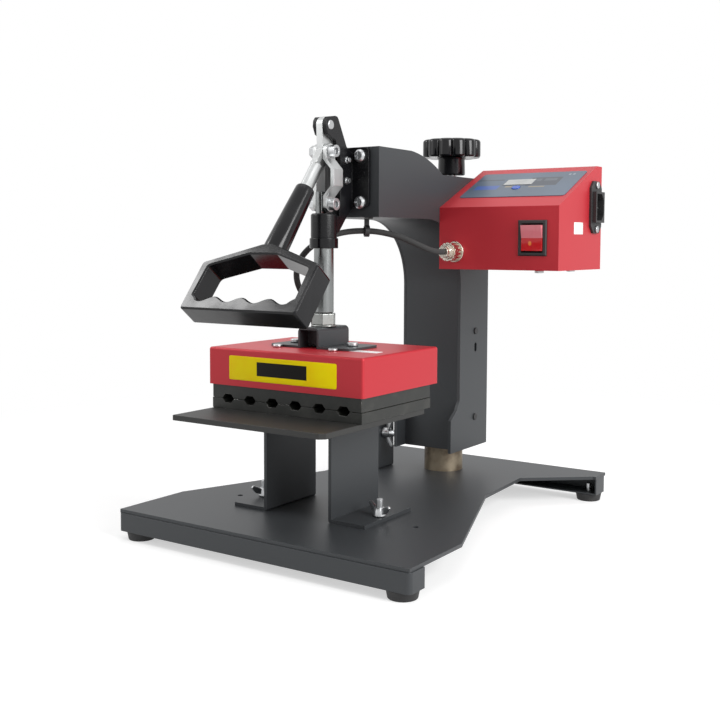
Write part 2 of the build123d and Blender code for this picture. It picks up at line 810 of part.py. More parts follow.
def make_side_plate(side):
    crown = crown_curve(0)
    edges = Polyline(
        (THROAT_Y, ARM_BOTTOM),
        (ARM_FRONT, ARM_BOTTOM),
        (ARM_FRONT, ARM_TOP),
        (CROWN_START_Y, ARM_TOP),
    )
    edges += crown
    edges += Polyline(
        (CROWN_END_Y, SHELF_Z),
        (COLUMN_REAR, SHELF_Z),
        (COLUMN_REAR, COLUMN_BOTTOM),
        (SIDE_FOOT_FRONT, COLUMN_BOTTOM),
        (SIDE_FOOT_FRONT, SIDE_FOOT_TOP),
        (SIDE_FOOT_SLOPE_Y, SIDE_FOOT_SLOPE_Z),
        (WEB_FRONT, SIDE_FOOT_END_Z),
        (WEB_FRONT, THROAT_Z),
    )
    edges += throat_curve(THROAT_R)
    low = FRAME_INNER if side > 0 else -COLUMN_HALF_WIDTH
    plate = side_prism(edges, low, low + SHEET)
    if side > 0:
        for z in (PLUG_LOW_Z, PLUG_HIGH_Z):
            plate -= round_x(PLUG_Y, z, PLUG_R, low, low + SHEET)
        oval = Pos(OVAL_Y, OVAL_Z) * Rot(0, 0, 90) * SlotOverall(OVAL_HEIGHT, OVAL_WIDTH)
        plate -= extrude(Plane.YZ.offset(low) * oval, amount=SHEET)
        for y, z in BOX_SCREW_PLACES:
            plate -= round_x(y, z, BOX_SCREW_R, low, low + SHEET)
    return plate


def throat_curve(radius):
    """A quarter circle about the throat's centre, from the column's web up to the arm's underside."""
    middle = radius * math.sqrt(0.5)
    return ThreePointArc(
        (THROAT_Y + radius, THROAT_Z),
        (THROAT_Y + middle, THROAT_Z + middle),
        (THROAT_Y, THROAT_Z + radius),
    )


def make_throat_web():
    front = ARM_FRONT + SHEET
    outer_r = THROAT_R + WEB_SHEET
    edges = throat_curve(THROAT_R)
    edges += Polyline(
        (THROAT_Y, ARM_BOTTOM),
        (front, ARM_BOTTOM),
        (front, ARM_BOTTOM + WEB_SHEET),
        (THROAT_Y, ARM_BOTTOM + WEB_SHEET),
    )
    edges += throat_curve(outer_r)
    edges += Polyline(
        (WEB_BACK, THROAT_Z),
        (WEB_BACK, COLUMN_BOTTOM),
        (WEB_FRONT, COLUMN_BOTTOM),
        (WEB_FRONT, THROAT_Z),
    )
    return side_prism(edges, -FRAME_INNER, FRAME_INNER)


def make_spine_cover():
    front = ARM_FRONT + SHEET
    edges = crown_curve(0)
    edges += Polyline(
        (CROWN_END_Y, SHELF_Z),
        (COLUMN_REAR, SHELF_Z),
        (COLUMN_REAR, COLUMN_BOTTOM),
        (COVER_INNER_Y, COLUMN_BOTTOM),
        (COVER_INNER_Y, SHELF_Z - WEB_SHEET),
        (CROWN_END_Y - WEB_SHEET * CROWN_LEAN, SHELF_Z - WEB_SHEET),
    )
    edges += crown_curve(WEB_SHEET)
    edges += Polyline(
        (CROWN_START_Y, ARM_TOP - WEB_SHEET),
        (front, ARM_TOP - WEB_SHEET),
        (front, ARM_TOP),
        (CROWN_START_Y, ARM_TOP),
    )
    cover = side_prism(edges, -FRAME_INNER, FRAME_INNER)
    return cover - round_z(0, KNOB_Y, STUD_R + STUD_HOLE_SLACK, SHELF_Z - WEB_SHEET, SHELF_Z)


def bracket_bolt_places():
    heights = (BRACKET_BOLT_LOW, BRACKET_BOLT_HIGH)
    return [(x, z) for x in (-BRACKET_BOLT_X, BRACKET_BOLT_X) for z in heights]


def make_arm_front_plate():
    plate = block((-FRAME_INNER, ARM_FRONT, ARM_BOTTOM), (FRAME_INNER, ARM_FRONT + SHEET, ARM_TOP))
    for x, z in bracket_bolt_places():
        plate -= round_y(x, z, PIVOT_R, ARM_FRONT, ARM_FRONT + SHEET)
    return plate


def make_pivot_sleeve():
    """The sleeve that turns on the post, with its closed top and the two plates welded round it."""
    sleeve = round_z(0, 0, SLEEVE_R, COLUMN_BOTTOM, SLEEVE_TOP)
    for low in (COLUMN_BOTTOM, UPPER_BEARING_Z):
        sleeve += block(
            (-FRAME_INNER, WEB_BACK, low),
            (FRAME_INNER, COVER_INNER_Y, low + BEARING_PLATE),
        )
    sleeve -= round_z(0, 0, BUSH_R, COLUMN_BOTTOM, POST_TOP + RUNNING)
    return sleeve - round_z(0, KNOB_Y, STUD_R + RUNNING, POST_TOP, SLEEVE_TOP)


def make_post_bushes():
    bushes = []
    for low in (COLUMN_BOTTOM, POST_TOP - BUSH_LENGTH):
        bush = round_z(0, 0, BUSH_R, low, low + BUSH_LENGTH)
        bushes.append(bush - round_z(0, 0, BUSH_BORE_R, low, low + BUSH_LENGTH))
    return bushes


def make_hole_plugs():
    plugs = []
    for z in (PLUG_LOW_Z, PLUG_HIGH_Z):
        plug = round_x(PLUG_Y, z, PLUG_R, FRAME_INNER - PLUG_HEAD, COLUMN_HALF_WIDTH)
        outer = COLUMN_HALF_WIDTH + PLUG_HEAD
        plugs.append(plug + round_x(PLUG_Y, z, PLUG_R + PLUG_RIM, COLUMN_HALF_WIDTH, outer))
    return plugs


# Toggle bracket, guide and pivots


def make_toggle_bracket():
    """The cast bracket: flange, two hooked ears, and the sleeve housing on its gusset."""
    bracket = block(
        (-BRACKET_HALF_WIDTH, BRACKET_FACE, BRACKET_LOW),
        (BRACKET_HALF_WIDTH, ARM_FRONT, BRACKET_HIGH),
    )
    half = BRACKET_HALF_WIDTH
    corners = [(x, None, z) for x in (-half, half) for z in (BRACKET_LOW, BRACKET_HIGH)]
    bracket = ease(bracket, Axis.Y, corners, BEND * 2)
    foot = BRACKET_LOW + BEND
    deep = BRACKET_FACE - GUSSET_DEPTH
    ear = [
        (BRACKET_FACE, foot),
        (deep, foot),
        (BRACKET_FACE - EAR_WAIST, TOP_PIVOT_Z - EAR_WAIST_DROP),
    ]
    ear += [(PRESS_Y + y, TOP_PIVOT_Z + z) for y, z in EAR_TIP]
    ear.append((BRACKET_FACE, TOP_PIVOT_Z - EAR_ROOT_DROP))
    for side in (-1, 1):
        low = EAR_INNER if side > 0 else -EAR_OUTER
        bracket += side_prism(ear, low, low + EAR_SHEET)
    inside = PRESS_Y + HOUSING_R - 2 * BEND
    gusset = [
        (BRACKET_FACE, foot),
        (deep, foot),
        (deep, HOUSING_HIGH - BEND),
        (inside, HOUSING_HIGH - BEND),
        (inside, HOUSING_LOW + BEND),
        (PRESS_Y + HOUSING_R + BEND, HOUSING_LOW + GUSSET_BOW_RISE),
        (BRACKET_FACE - GUSSET_TOE, HOUSING_HIGH - GUSSET_TOE_DROP),
        (BRACKET_FACE, BRACKET_LOW - BEND),
    ]
    bracket += side_prism(gusset, -EAR_OUTER, EAR_OUTER)
    housing = round_z(0, PRESS_Y, HOUSING_R, HOUSING_LOW, HOUSING_HIGH)
    bracket += fillet(housing.edges().sort_by(Axis.Z)[-1], BEND)
    bracket -= round_z(0, PRESS_Y, GUIDE_R, HOUSING_LOW, HOUSING_HIGH)
    bracket -= round_x(PRESS_Y, TOP_PIVOT_Z, TOP_PIN_R, -EAR_OUTER, EAR_OUTER)
    for x, z in bracket_bolt_places():
        bracket -= round_y(x, z, PIVOT_R, BRACKET_FACE, ARM_FRONT)
    for z in (EAR_SCREW_LOW, EAR_SCREW_HIGH):
        bracket -= round_x(EAR_SCREW_Y, z, EAR_SCREW_R, EAR_INNER, EAR_OUTER)
    return bracket


def cross_recess(x, y, z):
    """A cross slot for a screwdriver, sunk from the front."""
    wide = Box(2 * CROSS_REACH, 2 * CROSS_DEPTH, CROSS_WIDTH)
    tall = Box(CROSS_WIDTH, 2 * CROSS_DEPTH, 2 * CROSS_REACH)
    return Pos(x, y, z) * (wide + tall)


def make_bracket_bolts():
    """Four flange bolts and the two set screws with lock nuts in the right ear."""
    bolts = []
    for x, z in bracket_bolt_places():
        bolt = round_y(x, z, PIVOT_R, BRACKET_FACE, ARM_FRONT + 2 * SHEET)
        head = round_y(x, z, BRACKET_BOLT_HEAD_R, BRACKET_FACE - BRACKET_BOLT_HEAD_H, BRACKET_FACE)
        head = chamfer(head.edges().filter_by(GeomType.CIRCLE).sort_by(Axis.Y)[0], BRACKET_BOLT_DOME)
        bolts.append(bolt + head - cross_recess(x, BRACKET_FACE - BRACKET_BOLT_HEAD_H, z))
    for z in (EAR_SCREW_LOW, EAR_SCREW_HIGH):
        screw = round_x(EAR_SCREW_Y, z, EAR_SCREW_R, EAR_INNER, EAR_OUTER + EAR_SCREW_PROUD)
        nut = Rot(0, 90, 0) * hexagon(EAR_SCREW_NUT_FLATS, EAR_SCREW_NUT_H)
        bolts.append(screw + Pos(EAR_OUTER, EAR_SCREW_Y, z) * nut)
    return bolts


def make_guide_bush():
    low = HOUSING_LOW - COLLAR_H
    bush = round_z(0, PRESS_Y, GUIDE_R, low, HOUSING_HIGH)
    bush += round_z(0, PRESS_Y, COLLAR_R, low, HOUSING_LOW)
    return bush - round_z(0, PRESS_Y, GUIDE_BORE_R, low, HOUSING_HIGH)


def make_top_pin():
    """The plain pin that the lever turns on, with its ends just proud of the ears."""
    end = EAR_OUTER + TOP_PIN_PROUD
    pin = round_x(PRESS_Y, TOP_PIVOT_Z, TOP_PIN_R, -end, end)
    return chamfer(pin.edges().filter_by(GeomType.CIRCLE), TOP_PIN_EDGE)


def make_link_bolt(z):
    """A cap screw along X with its nut; the head is on the right."""
    tip = -LINK_OUTER - PIVOT_NUT_H - PIVOT_THREAD_END
    bolt = round_x(PRESS_Y, z, PIVOT_R, tip, LINK_OUTER)
    head = round_x(PRESS_Y, z, PIVOT_HEAD_R, LINK_OUTER, LINK_OUTER + PIVOT_HEAD_H)
    socket = Rot(0, 90, 0) * hexagon(PIVOT_HEAD_R, PIVOT_HEAD_H)
    head -= Pos(LINK_OUTER + PIVOT_HEAD_H / 2, PRESS_Y, z) * socket
    nut = Rot(0, 90, 0) * hexagon(PIVOT_NUT_FLATS, PIVOT_NUT_H)
    return bolt + head + Pos(-LINK_OUTER - PIVOT_NUT_H, PRESS_Y, z) * nut


def make_links():
    """A straight link on the left, and one on the right that bows outwards between its eyes."""
    eye = LINK_WIDTH / 2
    low = LOW_PIVOT_Z
    high = MIDDLE_PIVOT_Z
    silhouette = Polyline((PRESS_Y + eye, low), (PRESS_Y + eye, high))
    silhouette += ThreePointArc((PRESS_Y + eye, high), (PRESS_Y, high + eye), (PRESS_Y - eye, high))
    silhouette += Polyline((PRESS_Y - eye, high), (PRESS_Y - eye, low))
    silhouette += ThreePointArc((PRESS_Y - eye, low), (PRESS_Y, low - eye), (PRESS_Y + eye, low))
    links = []
    for side, bow in ((-1, 0), (1, LINK_BOW)):
        profile = []
        for inner in (LINK_INNER, LINK_OUTER):
            path = [(side * inner, low - eye)]
            if bow:
                path.append((side * inner, low + eye))
                path.append((side * (inner + bow), low + eye + LINK_SLANT))
                path.append((side * (inner + bow), high - eye - LINK_SLANT))
                path.append((side * inner, high - eye))
            path.append((side * inner, high + eye))
            profile += path if inner == LINK_INNER else list(reversed(path))
        strip = front_prism(profile, PRESS_Y - eye, PRESS_Y + eye)
        outer = LINK_OUTER + LINK_BOW
        link = strip & side_prism(silhouette, -outer, outer)
        for z in (low, high):
            link -= round_x(PRESS_Y, z, PIVOT_R, -outer, outer)
        links.append(link)
    return links


def make_link_bolts():
    return [make_link_bolt(z) for z in (LOW_PIVOT_Z, MIDDLE_PIVOT_Z)]


# Handle


def along_grip(radius, start, end):
    """A cylinder on the grip's axis, between two distances from the middle pivot."""
    rod = Cylinder(radius, end - start)
    return GRIP_PLANE * Pos(0, -(start + end) / 2, 0) * Rot(90, 0, 0) * rod


def make_lever():
    """The lever: a flat eye with two pivots, and a round tang that runs down into the grip."""
    half = LEVER_HALF
    lever = round_x(PRESS_Y, TOP_PIVOT_Z, LEVER_TOP_R, -half, half)
    eye = round_x(PRESS_Y, MIDDLE_PIVOT_Z, LEVER_EYE_R, -half, half)
    web = [
        (PRESS_Y - LEVER_TOP_R, TOP_PIVOT_Z),
        (PRESS_Y + LEVER_TOP_R, TOP_PIVOT_Z),
        (PRESS_Y + LEVER_EYE_R, MIDDLE_PIVOT_Z),
        (PRESS_Y - LEVER_FRONT, MIDDLE_PIVOT_Z),
    ]
    front = PRESS_Y - LEVER_FRONT
    low = MIDDLE_PIVOT_Z - LEVER_EYE_R
    eye &= block((-half, front, low), (half, PRESS_Y + LEVER_EYE_R, TOP_PIVOT_Z))
    lever += eye + side_prism(web, -half, half)
    flat = Box(2 * half, TANG_NECK_END, 2 * TANG_R, align=(Align.CENTER, Align.MAX, Align.CENTER))
    lever += GRIP_PLANE * flat
    length = TANG_NECK_END - TANG_NECK_START
    neck = Pos(0, -TANG_NECK_START - length / 2, 0) * Rot(-90, 0, 0) * Cone(TANG_R, half, length)
    lever += GRIP_PLANE * neck
    lever += along_grip(TANG_R, TANG_NECK_END, TANG_END)
    lever -= round_x(PRESS_Y, TOP_PIVOT_Z, TOP_PIN_R + RUNNING, -half, half)
    return lever - round_x(PRESS_Y, MIDDLE_PIVOT_Z, PIVOT_R + RUNNING, -TANG_R, TANG_R)


def window_floor():
    """The wavy lower edge of the finger window, crest to trough and back."""
    points = []
    for i in range(2 * WINDOW_WAVES + 1):
        x = (i - WINDOW_WAVES) * WINDOW_WAVE / 2
        s = WINDOW_TROUGH_S if i % 2 else WINDOW_CREST_S
        points.append((x, -s))
    return points


def make_grip():
    """The moulded grip: a tapered neck on the tang, and the D-shaped hand loop."""
    length = GRIP_SHOULDER - GRIP_START
    neck = Cone(GRIP_SHOULDER_R, GRIP_START_R, length)
    neck = GRIP_PLANE * Pos(0, -GRIP_START - length / 2, 0) * Rot(-90, 0, 0) * neck
    right = [
        (LOOP_NECK_X, -GRIP_SHOULDER),
        (LOOP_SHOULDER_X, -LOOP_SHOULDER_S),
        (LOOP_FOOT_X, -LOOP_END_S),
    ]
    loop = GRIP_PLANE.offset(-LOOP_HALF_THICK) * make_face(Polyline(*mirrored(right), close=True))
    loop = extrude(loop, amount=2 * LOOP_HALF_THICK)
    loop = chamfer(loop.faces().filter_by(GRIP_PLANE).edges(), LOOP_EDGE)
    floor = window_floor()
    outline = [
        (WINDOW_FOOT_X, -WINDOW_CREST_S),
        (WINDOW_SHOULDER_X, -WINDOW_SHOULDER_S),
        (WINDOW_TOP_X, -WINDOW_TOP_S),
        (-WINDOW_TOP_X, -WINDOW_TOP_S),
        (-WINDOW_SHOULDER_X, -WINDOW_SHOULDER_S),
        (-WINDOW_FOOT_X, -WINDOW_CREST_S),
    ]
    inner = [p for p in floor if abs(p[0]) < WINDOW_FOOT_X - BEND]
    edge = Polyline(*outline)
    edge += Polyline((-WINDOW_FOOT_X, -WINDOW_CREST_S), inner[0])
    edge += Spline(*inner)
    edge += Polyline(inner[-1], (WINDOW_FOOT_X, -WINDOW_CREST_S))
    window = GRIP_PLANE.offset(-LOOP_HALF_THICK) * make_face(edge)
    window = extrude(window, amount=2 * LOOP_HALF_THICK)
    grip = neck + loop - window
    return grip - along_grip(TANG_R + GRIP_FIT, GRIP_START, TANG_END + GRIP_FIT)


# Plunger and head


def tongue_slot():
    """The hole in the rod's tongue, wide enough for the lower link bolt over the whole stroke."""
    slot = None
    for step in range(PATH_STEPS + 1):
        turn = math.radians(HANDLE_OPEN_DEG) * step / PATH_STEPS
        lean = (LINK_RATIO - 1) * turn
        y = -LEVER_ARM * math.sin(turn) + LINK_LENGTH * math.sin(lean)
        drop = LEVER_ARM * math.cos(turn) + LINK_LENGTH * math.cos(lean)
        z = LEVER_ARM + LINK_LENGTH - drop - RISE_PER_RADIAN * turn
        hole = round_x(PRESS_Y + y, LOW_PIVOT_Z + z, PIVOT_R + BODY_GAP, -LEVER_HALF, LEVER_HALF)
        slot = hole if slot is None else slot + hole
    return slot


def make_plunger_rod():
    rod = round_z(0, PRESS_Y, ROD_R, NUT_HIGH, ROD_SHOULDER_Z)
    rod = chamfer(rod.edges().sort_by(Axis.Z)[0], ROD_END_EDGE)
    top = LOW_PIVOT_Z + TONGUE_TOP_R
    tongue = round_z(0, PRESS_Y, ROD_R, ROD_SHOULDER_Z, top)
    tongue &= block(
        (-LEVER_HALF, PRESS_Y - ROD_R, ROD_SHOULDER_Z),
        (LEVER_HALF, PRESS_Y + ROD_R, top),
    )
    rod += tongue - tongue_slot()
    return rod + round_z(0, PRESS_Y, TAIL_R, TAIL_END, NUT_HIGH)


def make_lock_nut():
    nut = Pos(0, PRESS_Y, NUT_LOW) * hexagon(NUT_FLATS, NUT_H)
    washer = round_z(0, PRESS_Y, ROD_WASHER_R, HAT_TOP, NUT_LOW)
    bore = round_z(0, PRESS_Y, TAIL_R, HAT_TOP, NUT_HIGH)
    return [nut - bore, washer - bore]


def make_hat_bracket():
    inner = HAT_HALF - HAT_SHEET
    roof = HAT_TOP - HAT_SHEET
    flange_top = COVER_TOP + HAT_SHEET
    right = [
        (HAT_HALF, HAT_TOP),
        (HAT_HALF, flange_top),
        (HAT_FLANGE, flange_top),
        (HAT_FLANGE, COVER_TOP),
        (inner, COVER_TOP),
        (inner, roof),
    ]
    hat = front_prism(mirrored(right), HAT_FRONT, HAT_BACK)
    hat = ease(hat, Axis.Y, [(-HAT_HALF, None, HAT_TOP), (HAT_HALF, None, HAT_TOP)], 2 * BEND)
    corners = [(x, y, None) for x in (-HAT_FLANGE, HAT_FLANGE) for y in (HAT_FRONT, HAT_BACK)]
    hat = ease(hat, Axis.Z, corners, HAT_CORNER)
    hat += block(
        (-inner, PRESS_Y - HAT_BLOCK_DEPTH / 2, flange_top),
        (inner, PRESS_Y + HAT_BLOCK_DEPTH / 2, roof),
    )
    hat -= round_z(0, PRESS_Y, TAIL_R, flange_top, HAT_TOP)
    for x in (-HAT_SCREW_X, HAT_SCREW_X):
        hat -= round_z(x, PRESS_Y, HAT_SCREW_R, COVER_TOP, flange_top)
    return hat


def head_screw_rows():
    """Each head screw's place, seat, shank radius, head radius and head height."""
    hat = (COVER_TOP + HAT_SHEET, HAT_SCREW_R, HAT_SCREW_HEAD_R, HAT_SCREW_HEAD_H)
    pan = (COVER_TOP, PAN_SCREW_R, PAN_SCREW_HEAD_R, PAN_SCREW_HEAD_H)
    rows = []
    for side in (-1, 1):
        rows.append((side * HAT_SCREW_X, PRESS_Y) + hat)
        rows.append((side * PAN_SCREW_X, PAN_SCREW_Y) + pan)
    return rows


def make_head_screws():
    screws = []
    for x, y, seat, shank, head_r, head_h in head_screw_rows():
        screw = round_z(x, y, shank, HEAD_SCREW_END, seat)
        screws.append(screw + round_z(x, y, head_r, seat, seat + head_h))
    return screws


def drill_head(solid, low, high):
    """Takes the head screws' shanks out of a solid."""
    for x, y, seat, shank, head_r, head_h in head_screw_rows():
        solid -= round_z(x, y, shank, max(low, HEAD_SCREW_END), min(high, seat))
    return solid


def make_head_cover():
    half = COVER_HALF_WIDTH
    cover = block((-half, COVER_FRONT, COVER_LOW), (half, COVER_BACK, COVER_TOP))
    kept = [edge for edge in cover.edges() if edge.center().Z > COVER_LOW + BEND]
    cover = fillet(kept, BEND)
    inner_x = half - THIN_SHEET
    cover -= block(
        (-inner_x, COVER_FRONT + THIN_SHEET, COVER_LOW),
        (inner_x, COVER_BACK - THIN_SHEET, COVER_TOP - THIN_SHEET),
    )
    cover -= round_z(GLAND_X, GLAND_Y, GLAND_NECK_R, COVER_TOP - THIN_SHEET, COVER_TOP)
    return drill_head(cover, COVER_TOP - THIN_SHEET, COVER_TOP)


def make_heater_plate():
    half = BLOCK_HALF_WIDTH
    plate = block((-half, BLOCK_FRONT, UPPER_BLOCK_TOP), (half, BLOCK_BACK, HEATER_TOP))
    return drill_head(plate, UPPER_BLOCK_TOP, HEATER_TOP)


def make_insulation():
    half = COVER_HALF_WIDTH - THIN_SHEET
    top = COVER_TOP - THIN_SHEET
    pad = block((-half, COVER_FRONT + THIN_SHEET, HEATER_TOP), (half, COVER_BACK - THIN_SHEET, top))
    pad -= round_z(GLAND_X, GLAND_Y, GLAND_NECK_R, top - THIN_SHEET, top)
    return drill_head(pad, HEATER_TOP, top)


def make_upper_block():
    half = BLOCK_HALF_WIDTH - PLATE_EDGE_GAP / 2
    solid = block((-half, BLOCK_FRONT, UPPER_BLOCK_LOW), (half, BLOCK_BACK, UPPER_BLOCK_TOP))
    for x in groove_places():
        solid -= make_groove(x, 1)
    return solid


def make_gland():
    top = COVER_TOP + GLAND_H
    gland = Pos(GLAND_X, GLAND_Y, COVER_TOP) * hexagon(2 * GLAND_R, GLAND_H / 2)
    gland += round_z(GLAND_X, GLAND_Y, GLAND_R - THIN_SHEET, COVER_TOP, top)
    return gland + round_z(GLAND_X, GLAND_Y, GLAND_NECK_R, COVER_TOP - 2 * THIN_SHEET, COVER_TOP)


# Star knob


def make_star_knob():
    """Lobed hand knob with its hub, on the stud's axis."""
    height = KNOB_TOP - KNOB_HEAD_LOW
    stand_up = (Align.CENTER, Align.CENTER, Align.MIN)
    head = Cylinder(KNOB_R, height, align=stand_up)
    head = chamfer(head.edges(), KNOB_EDGE)
    reach = KNOB_R + KNOB_SCALLOP_R - KNOB_SCALLOP_SINK
    for i in range(KNOB_LOBES):
        turn = 360.0 / KNOB_LOBES * (i + 0.5)
        scallop = Cylinder(KNOB_SCALLOP_R, height, align=stand_up)
        head -= Rot(0, 0, turn) * Pos(reach, 0, 0) * scallop
    knob = Pos(0, KNOB_Y, KNOB_HEAD_LOW) * head
    knob += round_z(0, KNOB_Y, KNOB_HUB_R, KNOB_HUB_LOW, KNOB_HEAD_LOW)
    return knob - round_z(0, KNOB_Y, STUD_R, KNOB_HUB_LOW, KNOB_STUD_END)


def make_knob_stud():
    return round_z(0, KNOB_Y, STUD_R, POST_TOP + BODY_GAP, KNOB_STUD_END)


# Control box


def box_outline(inset):
    """The box's side outline, moved inwards by a sheet's thickness."""
    rise = inset * math.tan(SLOPE / 2)
    return [
        (BOX_FRONT + inset, BOX_LOW + inset),
        (BOX_BACK - inset, BOX_LOW + inset),
        (BOX_BACK - inset, BOX_TOP - inset),
        (BOX_CREST_Y + rise, BOX_TOP - inset),
        (BOX_FRONT + inset, BOX_FRONT_TOP - inset / math.cos(SLOPE) + inset * math.tan(SLOPE)),
    ]


def on_slope(solid):
    """Moves a solid drawn at the slope's lower edge onto the box's slope."""
    return SLOPE_PLANE * solid


def make_box_shell():
    shell = side_prism(box_outline(0), BOX_LEFT, BOX_RIGHT - BOX_SHEET)
    shell -= side_prism(box_outline(BOX_SHEET), BOX_LEFT + BOX_SHEET, BOX_RIGHT - BOX_SHEET)
    half_x = BEZEL_HALF_WIDTH - BEZEL_BODY_INSET
    half_z = BEZEL_HALF_HEIGHT - BEZEL_BODY_INSET
    shell -= block(
        (ROCKER_X - half_x, BOX_FRONT, ROCKER_Z - half_z),
        (ROCKER_X + half_x, BOX_FRONT + BOX_SHEET, ROCKER_Z + half_z),
    )
    shell -= round_y(SOCKET_X, SOCKET_Z, SOCKET_BARREL_R, BOX_FRONT, BOX_FRONT + BOX_SHEET)
    shell -= on_slope(round_z(KEY_X, KEY_S, KEY_R + BODY_GAP, -2 * BOX_SHEET, 0))
    for y, z in BOX_SCREW_PLACES:
        shell -= round_x(y, z, BOX_SCREW_R, BOX_LEFT, BOX_LEFT + BOX_SHEET)
    for x, y in BOTTOM_SCREW_PLACES:
        shell -= round_z(x, y, BOX_SCREW_R, BOX_LOW, BOX_LOW + BOX_SHEET)
    return shell


def make_box_cover():
    cover = side_prism(box_outline(0), BOX_RIGHT - BOX_SHEET, BOX_RIGHT)
    cover -= block(
        (BOX_RIGHT - BOX_SHEET, INLET_Y - INLET_BODY_WIDTH / 2, INLET_Z - INLET_BODY_HEIGHT / 2),
        (BOX_RIGHT, INLET_Y + INLET_BODY_WIDTH / 2, INLET_Z + INLET_BODY_HEIGHT / 2),
    )
    for side in (-1, 1):
        z = INLET_Z + side * INLET_SCREW_PITCH / 2
        cover -= round_x(INLET_Y, z, INLET_SCREW_R, BOX_RIGHT - BOX_SHEET, BOX_RIGHT)
    return cover


def make_box_screws():
    """Screws into the column, screws under the box and the inlet's two screws."""
    screws = []
    seat = BOX_LEFT + BOX_SHEET
    for y, z in BOX_SCREW_PLACES:
        screw = round_x(y, z, BOX_SCREW_R, FRAME_INNER - THIN_SHEET, seat)
        screws.append(screw + round_x(y, z, BOX_SCREW_HEAD_R, seat, seat + BOX_SCREW_HEAD_H))
    for x, y in BOTTOM_SCREW_PLACES:
        screw = round_z(x, y, BOX_SCREW_R, BOX_LOW, BOX_LOW + 2 * BOX_SCREW_HEAD_H)
        screws.append(screw + round_z(x, y, BOX_SCREW_HEAD_R, BOX_LOW - BOX_SCREW_HEAD_H, BOX_LOW))
    flange = BOX_RIGHT + INLET_FLANGE
    for side in (-1, 1):
        z = INLET_Z + side * INLET_SCREW_PITCH / 2
        screw = round_x(INLET_Y, z, INLET_SCREW_R, BOX_RIGHT - 2 * BOX_SHEET, flange)
        head = round_x(INLET_Y, z, INLET_SCREW_HEAD_R, flange, flange + INLET_SCREW_HEAD_H)
        screws.append(screw + head)
    return screws


def make_control_film():
    width = FILM_RIGHT - FILM_LEFT
    height = FILM_HIGH - FILM_LOW
    film = RectangleRounded(width, height, FILM_CORNER)
    film = Pos((FILM_LEFT + FILM_RIGHT) / 2, (FILM_LOW + FILM_HIGH) / 2) * film
    film -= Pos(DISPLAY_X, DISPLAY_S) * Rectangle(DISPLAY_WIDTH, DISPLAY_HEIGHT)
    film -= Pos(KEY_X, KEY_S) * Circle(KEY_R + BODY_GAP)
    return on_slope(extrude(film, amount=FILM_SHEET))


def make_display_window():
    window = Box(DISPLAY_WIDTH, DISPLAY_HEIGHT, DISPLAY_SHEET)
    return on_slope(Pos(DISPLAY_X, DISPLAY_S, DISPLAY_SHEET / 2) * window)


def make_panel_key():
    low = -KEY_DOME_TOP + KEY_TRAVEL + BODY_GAP
    key = round_z(KEY_X, KEY_S, KEY_R, low, KEY_PROUD)
    return on_slope(chamfer(key.edges().sort_by(Axis.Z)[-1], KEY_EDGE))


def make_circuit_board():
    """The board behind the slope with its four spacers and key switch, and the transformer below."""
    board = block(
        (BOARD_LEFT, BOARD_LOW, -BOARD_TOP - BOARD_SHEET),
        (BOARD_RIGHT, BOARD_HIGH, -BOARD_TOP),
    )
    for x in (BOARD_LEFT + SPACER_INSET, BOARD_RIGHT - SPACER_INSET):
        for s in (BOARD_LOW + SPACER_INSET, BOARD_HIGH - SPACER_INSET):
            board += round_z(x, s, SPACER_R, -BOARD_TOP, -BOX_SHEET)
    half = SWITCH_SIDE / 2
    board += block(
        (KEY_X - half, KEY_S - half, -BOARD_TOP),
        (KEY_X + half, KEY_S + half, -KEY_DOME_TOP),
    )
    low = BOX_LOW + BOX_SHEET
    transformer = block(
        (TRANSFORMER_X, TRANSFORMER_Y, low),
        (TRANSFORMER_X + TRANSFORMER_WIDTH, TRANSFORMER_Y + TRANSFORMER_DEPTH, low + TRANSFORMER_HEIGHT),
    )
    return [on_slope(board), transformer]


def make_switch_bezel():
    """The rocker's frame with the pocket that it tilts in."""
    front = BOX_FRONT - BEZEL_PROUD
    bezel = block(
        (ROCKER_X - BEZEL_HALF_WIDTH, front, ROCKER_Z - BEZEL_HALF_HEIGHT),
        (ROCKER_X + BEZEL_HALF_WIDTH, BOX_FRONT, ROCKER_Z + BEZEL_HALF_HEIGHT),
    )
    bezel = chamfer(bezel.faces().sort_by(Axis.Y)[0].edges(), BEZEL_PROUD / 2)
    half_x = BEZEL_HALF_WIDTH - BEZEL_BODY_INSET
    half_z = BEZEL_HALF_HEIGHT - BEZEL_BODY_INSET
    bezel += block(
        (ROCKER_X - half_x, BOX_FRONT, ROCKER_Z - half_z),
        (ROCKER_X + half_x, BOX_FRONT + BEZEL_DEPTH, ROCKER_Z + half_z),
    )
    bezel -= block(
        (ROCKER_X - POCKET_HALF_WIDTH, front, ROCKER_Z - POCKET_HALF_HEIGHT),
        (ROCKER_X + POCKET_HALF_WIDTH, BOX_FRONT + POCKET_DEPTH, ROCKER_Z + POCKET_HALF_HEIGHT),
    )
    return bezel - rocker_axle(BODY_GAP, RUNNING)


def rocker_axle(end_gap, side_gap):
    """The rocker's axle, or the hole for it when the gaps are not zero."""
    reach = PADDLE_HALF_WIDTH + AXLE_LENGTH + end_gap
    y = BOX_FRONT + PADDLE_PIVOT_DEPTH
    return round_x(y, ROCKER_Z, AXLE_R + side_gap, ROCKER_X - reach, ROCKER_X + reach)


